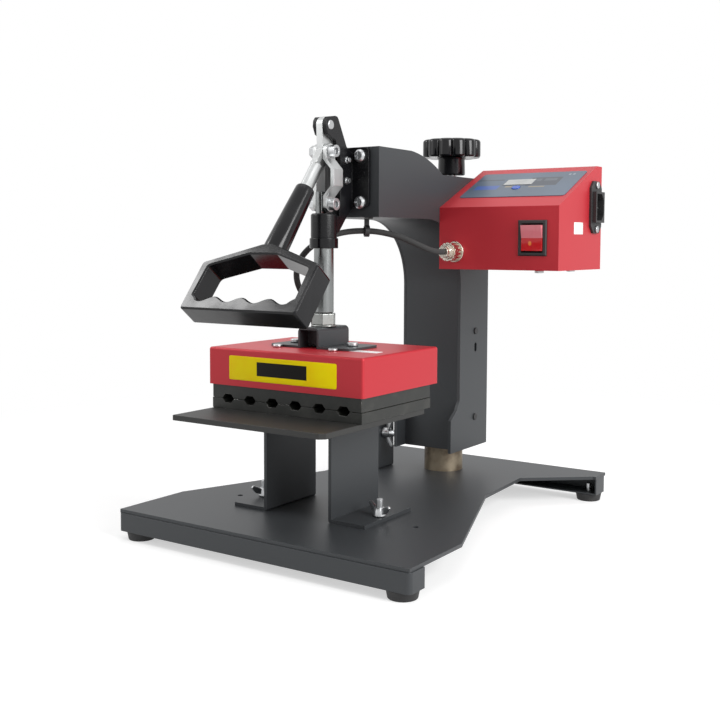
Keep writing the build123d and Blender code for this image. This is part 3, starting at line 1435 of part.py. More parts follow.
def make_rocker():
    """The rocker, pressed in at its lower end: a shallow V seen from the side."""
    face = BOX_FRONT - BEZEL_PROUD - PADDLE_PROUD
    back = BOX_FRONT + PADDLE_BACK
    raised = face - 2 * PADDLE_HALF_HEIGHT * math.tan(math.radians(ROCKER_TILT / 2))
    outline = [
        (face, ROCKER_Z - PADDLE_HALF_HEIGHT),
        (face, ROCKER_Z),
        (raised, ROCKER_Z + PADDLE_HALF_HEIGHT),
        (BOX_FRONT, ROCKER_Z + PADDLE_HALF_HEIGHT),
        (back, ROCKER_Z + PADDLE_BACK_HALF),
        (back, ROCKER_Z - PADDLE_BACK_HALF),
        (BOX_FRONT, ROCKER_Z - PADDLE_HALF_HEIGHT),
    ]
    half = PADDLE_HALF_WIDTH
    return side_prism(outline, ROCKER_X - half, ROCKER_X + half) + rocker_axle(0, 0)


def make_power_inlet():
    """Flange, raised rim and body of the appliance inlet, with its keyed socket."""
    flange = block(
        (BOX_RIGHT, INLET_Y - INLET_FLANGE_WIDTH / 2, INLET_Z - INLET_FLANGE_HEIGHT / 2),
        (BOX_RIGHT + INLET_FLANGE, INLET_Y + INLET_FLANGE_WIDTH / 2, INLET_Z + INLET_FLANGE_HEIGHT / 2),
    )
    flange = chamfer(flange.edges().filter_by(Axis.X), INLET_CORNER)
    body = block(
        (BOX_RIGHT - INLET_BEHIND, INLET_Y - INLET_BODY_WIDTH / 2, INLET_Z - INLET_BODY_HEIGHT / 2),
        (BOX_RIGHT + INLET_PROUD, INLET_Y + INLET_BODY_WIDTH / 2, INLET_Z + INLET_BODY_HEIGHT / 2),
    )
    mouth = BOX_RIGHT + INLET_PROUD
    half_y = INLET_SOCKET_WIDTH / 2
    half_z = INLET_SOCKET_HEIGHT / 2
    socket = [
        (INLET_Y - half_y, INLET_Z - half_z),
        (INLET_Y + half_y - INLET_KEY, INLET_Z - half_z),
        (INLET_Y + half_y, INLET_Z - half_z + INLET_KEY),
        (INLET_Y + half_y, INLET_Z + half_z - INLET_KEY),
        (INLET_Y + half_y - INLET_KEY, INLET_Z + half_z),
        (INLET_Y - half_y, INLET_Z + half_z),
    ]
    inlet = flange + body - side_prism(socket, mouth - INLET_SOCKET_DEPTH, mouth)
    for side in (-1, 1):
        z = INLET_Z + side * INLET_SCREW_PITCH / 2
        inlet -= round_x(INLET_Y, z, INLET_SCREW_R, BOX_RIGHT, BOX_RIGHT + INLET_FLANGE)
    return inlet


def make_inlet_pins():
    pins = []
    base = BOX_RIGHT + INLET_PROUD - INLET_SOCKET_DEPTH
    for i in (-1, 0, 1):
        y = INLET_Y - INLET_PIN_OFFSET + (2 * INLET_PIN_OFFSET if i == 0 else 0)
        z = INLET_Z + i * INLET_PIN_PITCH
        pins.append(block(
            (base, y - INLET_PIN_WIDTH / 2, z - INLET_PIN_THICK / 2),
            (base + INLET_PIN_LENGTH, y + INLET_PIN_WIDTH / 2, z + INLET_PIN_THICK / 2),
        ))
    return pins


# Cable and its fittings


def make_cable_socket():
    face = BOX_FRONT - SOCKET_FLANGE
    socket = round_y(SOCKET_X, SOCKET_Z, SOCKET_FLANGE_R, face, BOX_FRONT)
    end = BOX_FRONT + SOCKET_BEHIND
    return socket + round_y(SOCKET_X, SOCKET_Z, SOCKET_BARREL_R, face - SOCKET_BARREL, end)


def make_cable_plug():
    back = BOX_FRONT - SOCKET_FLANGE - SOCKET_BARREL
    plug = round_y(SOCKET_X, SOCKET_Z, PLUG_BODY_R, back - PLUG_BODY, back)
    return plug + round_y(SOCKET_X, SOCKET_Z, PLUG_NECK_R, CABLE_END, back - PLUG_BODY)


def make_cable_ring():
    """The knurled coupling ring that turns on the plug and socket."""
    front = BOX_FRONT - SOCKET_FLANGE - BODY_GAP
    ring = round_y(SOCKET_X, SOCKET_Z, RING_R, front - RING_LENGTH, front)
    for i in range(RING_GRIPS):
        turn = 2 * math.pi * i / RING_GRIPS
        x = SOCKET_X + RING_R * math.cos(turn)
        z = SOCKET_Z + RING_R * math.sin(turn)
        ring -= round_y(x, z, RING_GRIP_R, front - RING_LENGTH, front)
    return ring - round_y(SOCKET_X, SOCKET_Z, PLUG_BODY_R + RUNNING, front - RING_LENGTH, front)


def make_cable():
    """The heater's cable as a tube: straight runs joined by the largest tangent arcs they allow."""
    points = [Vector(*p) for p in CABLE_ROUTE]
    radii = []
    for i in range(1, len(points) - 1):
        before = points[i] - points[i - 1]
        after = points[i + 1] - points[i]
        turn = math.radians(before.get_angle(after))
        radii.append(ARC_SHARE * min(before.length, after.length) / math.tan(turn / 2))
    print("cable arc radii:", [round(r, 1) for r in radii])
    path = FilletPolyline(*points, radius=radii)
    start = Plane(origin=points[0], z_dir=points[1] - points[0])
    tube = sweep(start * Circle(CABLE_D / 2), path=path)
    section = math.pi * (CABLE_D / 2) ** 2
    print("cable length %.1f, volume over section times length %.5f"
          % (path.length, tube.volume / (section * path.length)))
    return tube


def make_cable_clip():
    """A clip that holds the cable under the arm, square to the run that it is on."""
    start = Vector(*CLIP_FROM)
    run = Vector(*CLIP_TO) - start
    middle = start + run / 2
    across = Plane(origin=middle, z_dir=run)
    bore = CABLE_D / 2 + CLIP_SLACK
    half = CLIP_LENGTH / 2
    turned = Pos(middle.X, middle.Y, 0) * Rot(0, 0, math.degrees(math.atan2(run.Y, run.X)))
    clip = across * Cylinder(bore + CLIP_WALL, CLIP_LENGTH)
    clip += turned * block((-half, -CLIP_WALL, middle.Z), (half, CLIP_WALL, ARM_BOTTOM))
    clip += turned * block((-half, -CLIP_WALL, ARM_BOTTOM - CLIP_WALL), (half, CLIP_TAB, ARM_BOTTOM))
    return clip - across * Cylinder(bore, 2 * CLIP_TAB)


def nodes():
    """Every node's name with its solid or its group of solids."""
    front_rail_back = BASE_FRONT + FRONT_RAIL_DEPTH
    rear_rail_front = BASE_REAR - REAR_RAIL_DEPTH
    return {
        "base_plate": make_base_plate(),
        "front_rail": make_rail(BASE_HALF_WIDTH, BASE_FRONT, front_rail_back, False),
        "rear_rail": make_rail(REAR_HALF_WIDTH, rear_rail_front, BASE_REAR, True),
        "rubber_feet": make_feet(),
        "foot_screws": make_foot_screws(),
        "base_bolts": make_base_bolts(),
        "pivot_post": make_post(),
        "stand_leg_left": make_leg(-1),
        "stand_leg_right": make_leg(1),
        "lower_platen": make_platen(),
        "platen_screws": make_platen_screws(),
        "lower_block": make_lower_block(),
        "stand_wing_nut_left": make_stand_wing_nut(-1, LEFT_WING_TURN),
        "stand_wing_nut_right": make_stand_wing_nut(1, RIGHT_WING_TURN),
        "swing_stop": make_stop(),
        "stop_screw": make_stop_screw(),
        "stop_wing_nut": make_stop_wing_nut(),
        "side_plate_left": make_side_plate(-1),
        "side_plate_right": make_side_plate(1),
        "throat_web": make_throat_web(),
        "spine_cover": make_spine_cover(),
        "arm_front_plate": make_arm_front_plate(),
        "pivot_sleeve": make_pivot_sleeve(),
        "post_bushes": make_post_bushes(),
        "hole_plugs": make_hole_plugs(),
        "toggle_bracket": make_toggle_bracket(),
        "bracket_bolts": make_bracket_bolts(),
        "guide_bush": make_guide_bush(),
        "top_pivot_pin": make_top_pin(),
        "toggle_links": make_links(),
        "link_bolts": make_link_bolts(),
        "lever": make_lever(),
        "grip": make_grip(),
        "plunger_rod": make_plunger_rod(),
        "lock_nut": make_lock_nut(),
        "hat_bracket": make_hat_bracket(),
        "head_screws": make_head_screws(),
        "head_cover": make_head_cover(),
        "insulation_pad": make_insulation(),
        "heater_plate": make_heater_plate(),
        "upper_block": make_upper_block(),
        "cable_gland": make_gland(),
        "star_knob": make_star_knob(),
        "knob_stud": make_knob_stud(),
        "box_shell": make_box_shell(),
        "box_cover": make_box_cover(),
        "box_screws": make_box_screws(),
        "control_film": make_control_film(),
        "display_window": make_display_window(),
        "panel_key": make_panel_key(),
        "circuit_board": make_circuit_board(),
        "switch_bezel": make_switch_bezel(),
        "rocker_switch": make_rocker(),
        "power_inlet": make_power_inlet(),
        "inlet_pins": make_inlet_pins(),
        "cable_socket": make_cable_socket(),
        "cable_plug": make_cable_plug(),
        "cable_ring": make_cable_ring(),
        "heater_cable": make_cable(),
        "cable_clip": make_cable_clip(),
    }


os.makedirs("parts", exist_ok=True)
for name, made in nodes().items():
    shape = Compound(children=made) if isinstance(made, list) else made
    export_step(shape, "parts/%s.step" % name)
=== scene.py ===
"""Looks of a bench-top swing-away heat press for pens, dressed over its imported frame.

The frame is +X to the right, +Y to the back and +Z up, with the origin on the table under the
post. Sizes in the classes are millimetres, as a maker would note them, and the meshes are metres.
"""

import json
import logging
import math
from dataclasses import dataclass
from enum import Enum
from typing import Any, Sequence, Union

import bmesh
import bpy
from bpy.types import ID, Material, Mesh, NodeSocket, Object, World
from mathutils import Matrix, Vector


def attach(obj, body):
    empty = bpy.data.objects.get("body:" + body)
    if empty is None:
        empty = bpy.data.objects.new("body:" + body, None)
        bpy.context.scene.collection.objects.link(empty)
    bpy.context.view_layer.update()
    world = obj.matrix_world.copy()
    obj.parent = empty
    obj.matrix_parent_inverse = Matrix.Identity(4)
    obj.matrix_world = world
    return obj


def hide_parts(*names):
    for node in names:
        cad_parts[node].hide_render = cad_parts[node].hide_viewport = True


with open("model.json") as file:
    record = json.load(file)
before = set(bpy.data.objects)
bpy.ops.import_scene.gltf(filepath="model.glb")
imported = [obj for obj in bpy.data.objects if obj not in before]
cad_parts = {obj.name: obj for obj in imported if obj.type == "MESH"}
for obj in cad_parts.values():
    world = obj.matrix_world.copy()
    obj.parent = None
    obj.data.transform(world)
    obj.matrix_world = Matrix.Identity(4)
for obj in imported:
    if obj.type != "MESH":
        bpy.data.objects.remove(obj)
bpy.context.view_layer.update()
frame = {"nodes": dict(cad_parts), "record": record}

MM = 0.001
METRE = 1000.0
BODIES = frame["record"]["behaviour"]["bodies"]
BODY_OF = {node: body for body, nodes in BODIES.items() for node in nodes}

# Shading, rounding and joining; the welds are in millimetres.
SHARP_ANGLE = math.radians(35.0)
EASED_ANGLE = math.radians(38.0)
FLAT_ANGLE = math.radians(0.6)
NODE_WELD = 0.02
CURVE_WELD = 0.002
EDGE_SAMPLES = 6
UPRIGHT = Matrix.Rotation(math.radians(90.0), 4, "X")
WHITE = (1.0, 1.0, 1.0)

log = logging.getLogger("pen_press")

Point = Sequence[float]
Pair = tuple[float, float]
Triple = tuple[float, float, float]
Cloud = tuple[float, float, float, float]
Pairs = tuple[Pair, ...]
Colour = Triple
Operand = Union["Signal", float, int, Sequence[float]]


class Mould(Enum):
    """The moulded plastics on the press, each by its roughness and its skin's depth."""

    GLOSS = (0.13, 0.006)
    MATT = (0.52, 0.03)


class Signal:
    """One output socket, with Python's arithmetic on it."""

    def __init__(self, graph: "Graph", socket: NodeSocket) -> None:
        """Wraps an output socket of a graph."""
        self.graph = graph
        self.socket = socket

    def _math(self, operation: str, *values: Operand) -> "Signal":
        """Adds a Math node over the given values."""
        return self.graph.node("Math", {"operation": operation}, dict(enumerate(values)))

    def __add__(self, other: Operand) -> "Signal":
        """Self plus other."""
        return self._math("ADD", self, other)

    __radd__ = __add__

    def __sub__(self, other: Operand) -> "Signal":
        """Self minus other."""
        return self._math("SUBTRACT", self, other)

    def __rsub__(self, other: Operand) -> "Signal":
        """Other minus self."""
        return self._math("SUBTRACT", other, self)

    def __mul__(self, other: Operand) -> "Signal":
        """Self times other."""
        return self._math("MULTIPLY", self, other)

    __rmul__ = __mul__

    def __abs__(self) -> "Signal":
        """The size of self."""
        return self._math("ABSOLUTE", self)

    def at_least(self, other: Operand) -> "Signal":
        """The greater of self and other."""
        return self._math("MAXIMUM", self, other)

    def at_most(self, other: Operand) -> "Signal":
        """The lesser of self and other."""
        return self._math("MINIMUM", self, other)

    def ramp(self, low: float, high: float, start: float = 0.0, end: float = 1.0) -> "Signal":
        """A smooth step from start, at and under low, to end, at and over high."""
        sockets = {0: self, 1: low, 2: high, 3: start, 4: end}
        return self.graph.node("MapRange", {"interpolation_type": "SMOOTHSTEP"}, sockets)

    def sibling(self, name: str) -> "Signal":
        """Another output of the same node."""
        return Signal(self.graph, self.socket.node.outputs[name])


class Graph:
    """The nodes of one material or of the world."""

    def __init__(self, owner: Material | World) -> None:
        """Starts with no nodes.

        Args:
            owner: The material or world.
        """
        self.owner = owner
        owner.use_nodes = True
        self.tree = owner.node_tree
        self.tree.nodes.clear()

    def node(
        self,
        kind: str,
        settings: dict[str, Any] | None = None,
        sockets: dict[Any, Operand] | None = None,
        output: Any = 0,
    ) -> Signal | None:
        """Adds a node of any type.

        Args:
            kind: The node's type, without its ShaderNode prefix.
            settings: Attributes that are set first.
            sockets: The values or signals of its input sockets, by name or number.
            output: The name or number of the output to return.

        Returns:
            The chosen output, or None where the node has no outputs.
        """
        made = self.tree.nodes.new("ShaderNode" + kind)
        for key, value in (settings or {}).items():
            setattr(made, key, value)
        for key, value in (sockets or {}).items():
            self._feed(made.inputs[key], value)
        return Signal(self, made.outputs[output]) if made.outputs else None

    def _feed(self, socket: NodeSocket, value: Operand) -> None:
        """Links a signal to a socket, or sets its value.

        Args:
            socket: The input socket.
            value: The signal or value; a colour has three parts.
        """
        if isinstance(value, Signal):
            self.tree.links.new(value.socket, socket)
        elif socket.type == "RGBA":
            socket.default_value = (*value, 1.0)
        else:
            socket.default_value = value

    def place(self) -> Signal:
        """The surface's place in the frame's own axes, in metres, with the part at rest."""
        return self.node("TexCoord", output="Object")

    def axes(self) -> tuple[Signal, Signal, Signal]:
        """The three parts of the surface's place, in metres."""
        x = self.node("SeparateXYZ", sockets={0: self.place()})
        return x, x.sibling("Y"), x.sibling("Z")

    def mix(self, under: Operand, over: Operand, share: Operand) -> Signal:
        """Lays one colour over another, by the share of it that shows."""
        return self.node("Mix", {"data_type": "RGBA"}, {0: share, 6: under, 7: over}, output=2)

    def noise(self, scale: float, detail: float = 3.0, stretch: Point | None = None) -> Signal:
        """Cloudy noise from 0 to 1, so many times to the metre.

        Args:
            scale: The noise's scale.
            detail: Its octaves.
            stretch: Factors on the three axes, for streaks.

        Returns:
            The noise.
        """
        spot = self.place()
        if stretch is not None:
            spot = self.node("VectorMath", {"operation": "MULTIPLY"}, {0: spot, 1: stretch})
        return self.node("TexNoise", sockets={"Vector": spot, "Scale": scale, "Detail": detail})

    def softened(self, radius: float) -> Signal:
        """The normal with sharp edges rounded by a radius in millimetres."""
        return self.node("Bevel", {"samples": EDGE_SAMPLES}, {"Radius": radius * MM})

    def edges(self, radius: float, gain: float) -> Signal:
        """A mask of the surface's sharp edges.

        Args:
            radius: The mask's width in millimetres.
            gain: How quickly it fills.

        Returns:
            A mask from 0 on flat faces to 1 on edges.
        """
        normals = {0: self.softened(radius), 1: self.node("NewGeometry", output="Normal")}
        match = self.node("VectorMath", {"operation": "DOT_PRODUCT"}, normals, "Value")
        return ((1.0 - match) * gain).at_most(1.0)

    def bump(self, height: Signal, depth: float, soften: float = 0.0) -> Signal:
        """A normal that is bumped by a height map.

        Args:
            height: The height, from 0 to 1.
            depth: What a height of 1 stands for, in millimetres.
            soften: The radius that sharp edges are rounded by, in millimetres.

        Returns:
            The normal.
        """
        sockets: dict[Any, Operand] = {"Height": height, "Distance": depth * MM, "Strength": 1.0}
        if soften:
            sockets["Normal"] = self.softened(soften)
        return self.node("Bump", sockets=sockets)

    def seen_by(self, *rays: str) -> Signal:
        """One for the camera's rays and for rays of the named kinds, otherwise zero.

        Args:
            rays: The kinds, as outputs of the Light Path node.

        Returns:
            The mask.
        """
        seen = camera = self.node("LightPath", output="Is Camera Ray")
        for ray in rays:
            seen = seen.at_least(camera.sibling(ray))
        return seen

    def end(self, shader: Signal) -> Material | World:
        """Links a shader to the output.

        Args:
            shader: The shader.

        Returns:
            The material or world.
        """
        kind = "OutputWorld" if isinstance(self.owner, World) else "OutputMaterial"
        self.node(kind, sockets={"Surface": shader})
        return self.owner


def scaled(colour: Colour, factor: float, lift: float = 0.0) -> Colour:
    """A colour times a factor, plus a lift."""
    return tuple(factor * part + lift for part in colour)


@dataclass(frozen=True)
class Finish:
    """A finish whose colour drifts in clouds and whose skin has a fine grain.

    Attributes:
        second: The clouds' colour, where it isn't the first one times gain plus lift.
        cloud: The clouds' scale and detail, and where in the noise they start and end.
        share: How much of the clouds' colour shows.
        stepped: Whether roughness follows the clouds' colour and not their noise.
        grain: The grain's scale and detail.
        stretch: Factors on the three axes that draw the grain into streaks.
        soften: The rounding of sharp edges in the light.
        edge: How wide its worn edges are, and how quickly they fill.
        worn: The colour under it where it is worn; worn_gloss and worn_metal are added there.
    """

    name: str
    colour: Colour = (0.5, 0.5, 0.5)
    second: Colour | None = None
    roughness: float = 0.5
    gain: float = 1.0
    lift: float = 0.0
    cloud: Cloud = (90.0, 3.0, 0.45, 0.8)
    share: float = 1.0
    cloud_gloss: float = 0.1
    cloud_metal: float = 0.0
    stepped: bool = False
    grain: Pair = (700.0, 2.0)
    stretch: Triple = (1.0, 1.0, 1.0)
    depth: float = 0.02
    grain_gloss: float = 0.0
    soften: float = 0.0
    metallic: float = 0.0
    sheen: float = 0.5
    coat: float = 0.0
    coat_gloss: float = 0.03
    edge: Pair = (0.0, 1.0)
    worn: Colour = (0.0, 0.0, 0.0)
    worn_gloss: float = 0.0
    worn_metal: float = 0.0

    def material(self) -> Material:
        """The finish's material, made on first use."""
        known = bpy.data.materials
        return known.get(self.name) or self.brew(Graph(known.new(self.name)))

    def wear(self, graph: Graph) -> Operand:
        """A mask of the worn places; a plain finish has none."""
        return 0.0

    def prints(self, graph: Graph, tone: Signal) -> Signal:
        """The colour with what is printed on it; a plain finish has no print."""
        return tone

    def brew(self, graph: Graph) -> Material:
        """Mixes the finish.

        Args:
            graph: The empty graph.

        Returns:
            The material.
        """
        scale, detail, low, high = self.cloud
        cloud = graph.noise(scale, detail)
        step = cloud.ramp(low, high)
        grain = graph.noise(*self.grain, self.stretch)
        wear = self.wear(graph)
        second = self.second or scaled(self.colour, self.gain, self.lift)
        tone = self.prints(graph, graph.mix(self.colour, second, step * self.share))
        gloss = self.roughness + (step if self.stepped else cloud) * self.cloud_gloss
        gloss = gloss + grain * self.grain_gloss + wear * self.worn_gloss
        metal = self.metallic + wear * self.worn_metal if self.worn_metal else self.metallic
        sockets = {
            "Base Color": graph.mix(tone, self.worn, wear),
            "Roughness": gloss,
            "Metallic": metal + cloud * self.cloud_metal if self.cloud_metal else metal,
            "Specular IOR Level": self.sheen,
            "Coat Weight": self.coat,
            "Coat Roughness": self.coat_gloss,
            "Normal": graph.bump(grain, self.depth, self.soften),
        }
        return graph.end(graph.node("BsdfPrincipled", sockets=sockets))


@dataclass(frozen=True)
class PowderCoat(Finish):
    """Satin black powder coat with a fine orange peel, and edges lightened by rubbed wear and by a
    painted edge highlight.
    """

    colour: Colour = (0.015, 0.016, 0.017)
    roughness: float = 0.37
    gain: float = 1.35
    cloud: Cloud = (16.0, 4.0, 0.35, 0.7)
    grain: Pair = (1500.0, 2.0)
    depth: float = 0.035
    grain_gloss: float = 0.04
    soften: float = 0.5
    # worn: the lighter edge colour, for rubbed wear and for a painted edge highlight
    worn: Colour = (0.085, 0.088, 0.092)
    edge: Pair = (0.9, 2.2)
    rub_and_highlight_share: float = 0.7

    def wear(self, graph: Graph) -> Operand:
        """The lighter places along its edges: rubbed wear and a painted edge highlight."""
        patchy = graph.noise(260.0).ramp(0.42, 0.66)
        return graph.edges(*self.edge) * patchy * self.rub_and_highlight_share


@dataclass(frozen=True)
class Enamel(Finish):
    """Glossy red stove enamel, paler at its edges."""

    colour: Colour = (0.70, 0.004, 0.009)
    second: Colour = (0.58, 0.003, 0.006)
    roughness: float = 0.30
    cloud: Cloud = (11.0, 3.0, 0.35, 0.75)
    cloud_gloss: float = 0.04
    grain: Pair = (620.0, 2.0)
    grain_gloss: float = 0.05
    soften: float = 0.8
    sheen: float = 0.16
    coat: float = 0.12
    coat_gloss: float = 0.12
    worn: Colour = (0.80, 0.08, 0.08)
    edge: Pair = (0.8, 1.6)
    edge_share: float = 0.25

    def wear(self, graph: Graph) -> Operand:
        """The thin enamel along its edges."""
        return graph.edges(*self.edge) * self.edge_share


@dataclass(frozen=True)
class BrightMetal(Finish):
    """Plated or polished metal, with fine streaks along one axis and dull stains; on the chrome rod
    the dark stains also stand in as painted dark reflections.
    """

    cloud: Cloud = (70.0, 4.0, 0.45, 0.75)
    share: float = 0.35
    stepped: bool = True
    grain: Pair = (900.0, 3.0)
    stretch: Triple = (1.0, 1.0, 0.05)
    depth: float = 0.01
    grain_gloss: float = 0.12
    soften: float = 0.35
    metallic: float = 1.0


@dataclass(frozen=True)
class CoatedBlock(Finish):
    """Dark coated aluminium, milled across, with bare metal at scratched edges."""

    colour: Colour = (0.010, 0.011, 0.009)
    second: Colour = (0.034, 0.034, 0.030)
    roughness: float = 0.45
    cloud: Cloud = (60.0, 4.0, 0.4, 0.75)
    stepped: bool = True
    stretch: Triple = (1.0, 0.05, 1.0)
    depth: float = 0.03
    soften: float = 0.25
    metallic: float = 0.1
    worn: Colour = (0.55, 0.54, 0.51)
    worn_gloss: float = -0.2
    worn_metal: float = 0.8
    edge: Pair = (0.5, 4.0)

    def wear(self, graph: Graph) -> Operand:
        """The chips along its edges."""
        chips = graph.noise(150.0, 4.0, (0.35, 0.35, 2.0)).ramp(0.50, 0.60)
        return (graph.edges(*self.edge) * chips).ramp(0.12, 0.40)


@dataclass(frozen=True)
class OiledSteel(Finish):
    """Turned steel with a brown film of old oil."""

    colour: Colour = (0.30, 0.25, 0.18)
    second: Colour = (0.12, 0.085, 0.055)
    roughness: float = 0.36
    cloud: Cloud = (45.0, 5.0, 0.38, 0.62)
    cloud_gloss: float = 0.15
    cloud_metal: float = -0.3
    grain: Pair = (500.0, 2.0)
    stretch: Triple = (0.15, 0.15, 1.0)
    metallic: float = 0.75


@dataclass(frozen=True)
class Moulding(Finish):
    """Moulded plastic with a fine skin and finger marks."""

    gain: float = 1.5
    lift: float = 0.002
    cloud: Cloud = (38.0, 4.0, 0.4, 0.7)
    share: float = 0.6
    cloud_gloss: float = 0.12
    stepped: bool = True
    grain: Pair = (1100.0, 2.0)
    grain_gloss: float = 0.03
    soften: float = 0.3

    @classmethod
    def of(cls, name: str, colour: Colour, shine: Mould, **more: float) -> "Moulding":
        """A moulding of one shine."""
        roughness, depth = shine.value
        return cls(name, colour, roughness=roughness, depth=depth, **more)


@dataclass(frozen=True)
class SoftRubber(Finish):
    """Matt rubber or cable jacket, a little dusty."""

    colour: Colour = (0.018, 0.018, 0.019)
    second: Colour = (0.09, 0.088, 0.083)
    roughness: float = 0.62
    cloud: Cloud = (120.0, 4.0, 0.45, 0.8)
    share: float = 0.4
    cloud_gloss: float = 0.15
    stepped: bool = True
    grain: Pair = (1400.0, 2.0)
    soften: float = 0.4


@dataclass(frozen=True)
class PlainStock(Finish):
    """A plain inner material: laminate, felt, brass or bare casting."""

    gain: float = 0.7
    cloud: Cloud = (300.0, 3.0, 0.4, 0.65)
    grain: Pair = (300.0, 3.0)
    depth: float = 0.03


@dataclass(frozen=True)
class Sticker(Finish):
    """A paper or vinyl label in one colour, a little uneven."""

    colour: Colour = (0.80, 0.80, 0.79)
    roughness: float = 0.35
    gain: float = 0.88
    cloud_gloss: float = 0.08
    grain: Pair = (400.0, 2.0)
    depth: float = 0.012


@dataclass(frozen=True)
class Patch:
    """A printed rectangle with soft edges, in millimetres on the face that it is printed on."""

    left: float
    right: float
    low: float
    high: float
    colour: Colour
    share: float = 1.0
    fade: float = 0.35

    def over(self, graph: Graph, tone: Operand, across: Signal, up: Signal) -> Signal:
        """Prints the rectangle over a colour.

        Args:
            graph: The finish's graph.
            tone: The colour beneath.
            across: The surface's place from left to right.
            up: The surface's place from low to high.

        Returns:
            The colour with the rectangle on it.
        """
        half_x, half_y = (self.right - self.left) / 2, (self.high - self.low) / 2
        reach_x = half_x - abs(across - (self.left + self.right) / 2)
        reach_y = half_y - abs(up - (self.low + self.high) / 2)
        mask = reach_x.at_most(reach_y).ramp(0.0, self.fade)
        return graph.mix(tone, self.colour, mask * self.share)


@dataclass(frozen=True)
class Printed(Finish):
    """Smooth stock with plain fields, printed along a face that rises by an angle from its foot."""

    roughness: float = 0.30
    depth: float = 0.01
    foot: Pair = (0.0, 0.0)
    angle: float = 90.0
    patches: tuple[Patch, ...] = ()

    def prints(self, graph: Graph, tone: Signal) -> Signal:
        """Lays the printed fields over the colour.

        Args:
            graph: The finish's graph.
            tone: The colour beneath.

        Returns:
            The colour with the print on it.
        """
        x, y, z = graph.axes()
        turn = math.radians(self.angle)
        back, above = y * METRE - self.foot[0], z * METRE - self.foot[1]
        up = back * math.cos(turn) + above * math.sin(turn)
        for patch in self.patches:
            tone = patch.over(graph, tone, x * METRE, up)
        return tone


@dataclass(frozen=True)
class Rocker(Finish):
    """The clear red rocker, its upper half lightened by a painted reflection of the light above,
    with its small lamp in the lower half.
    """

    middle_x: float = 125.0
    middle_z: float = 255.4
    lamp_left: float = 1.5
    lamp_down: float = 4.6
    lower: Colour = (0.62, 0.004, 0.010)
    # upper: the upper half's red, lightened as a painted reflection of the light above
    upper: Colour = (0.80, 0.22, 0.26)
    rib: Colour = (0.42, 0.0, 0.004)
    lamp: Colour = (0.95, 0.30, 0.05)
    roughness: float = 0.14
    coat: float = 0.4
    soften: float = 0.5

    def brew(self, graph: Graph) -> Material:
        """Mixes the rocker's plastic.

        Args:
            graph: The empty graph.

        Returns:
            The material.
        """
        x, _, z = graph.axes()
        right, up = x * METRE - self.middle_x, z * METRE - self.middle_z
        across = (right + self.lamp_left) * 0.8
        along = (up + self.lamp_down) * 0.6
        lamp = (across * across + along * along).ramp(0.35, 2.2, 1.0, 0.0)
        ribs = abs(graph.noise(220.0, 2.0, (1.0, 1.0, 0.1)) - 0.5) * 2.0
        # painted reflection: the upper half is mixed towards the paler red
        tone = graph.mix(self.lower, self.upper, up.ramp(-0.4, 0.4))
        tone = graph.mix(tone, self.rib, ribs.ramp(0.1, 0.5) * 0.3)
        sockets = {
            "Base Color": graph.mix(tone, self.lamp, lamp * 0.9),
            "Roughness": self.roughness + ribs * 0.05,
            "Coat Weight": self.coat,
            "Normal": graph.bump(ribs, self.depth, self.soften),
        }
        return graph.end(graph.node("BsdfPrincipled", sockets=sockets))


POWDER = PowderCoat("black_powder_coat")
# The worn colours of these coats are their lighter edges: rubbed wear and a painted edge highlight.
CAST_COAT = PowderCoat(
    "cast_bracket_coat", (0.004, 0.004, 0.005), roughness=0.21, depth=0.06,
    sheen=0.3, worn=(0.07, 0.07, 0.07),
)
PLATEN_COAT = PowderCoat(
    "platen_coat", (0.012, 0.012, 0.011), roughness=0.45, depth=0.05,
    soften=0.35, worn=(0.10, 0.10, 0.10),
)
RED = Enamel("red_enamel")
ZINC = BrightMetal("bright_zinc", (0.52, 0.53, 0.54), (0.26, 0.26, 0.25), 0.24)
# rod_chrome: its dark, wide blotches are stains and also painted dark reflections of the parts
# around the rod
CHROME = BrightMetal("rod_chrome", (0.26, 0.27, 0.27), (0.10, 0.10, 0.10), 0.16, share=0.6)
DULL_ZINC = BrightMetal("nut_zinc", (0.30, 0.31, 0.30), (0.14, 0.14, 0.13), 0.26, share=0.6)
LINK_STEEL = BrightMetal("link_zinc", (0.56, 0.57, 0.57), (0.30, 0.30, 0.29), 0.28, share=0.5)
CONNECTOR = BrightMetal(
    "connector_nickel", (0.72, 0.66, 0.58), (0.35, 0.30, 0.25), 0.16, share=0.5
)
BLOCK = CoatedBlock("coated_block")
OILED = OiledSteel("oiled_post")
GLOSS_BLACK = Moulding.of(
    "gloss_black", (0.002, 0.002, 0.003), Mould.GLOSS, soften=0.5, sheen=0.36
)
MATT_BLACK = Moulding.of("matt_black", (0.016, 0.016, 0.017), Mould.MATT)
KEY_BLUE = Moulding.of("key_blue", (0.020, 0.085, 0.42), Mould.GLOSS)
RUBBER = SoftRubber("foot_rubber")
JACKET = SoftRubber("cable_jacket", (0.022, 0.023, 0.023), roughness=0.44)
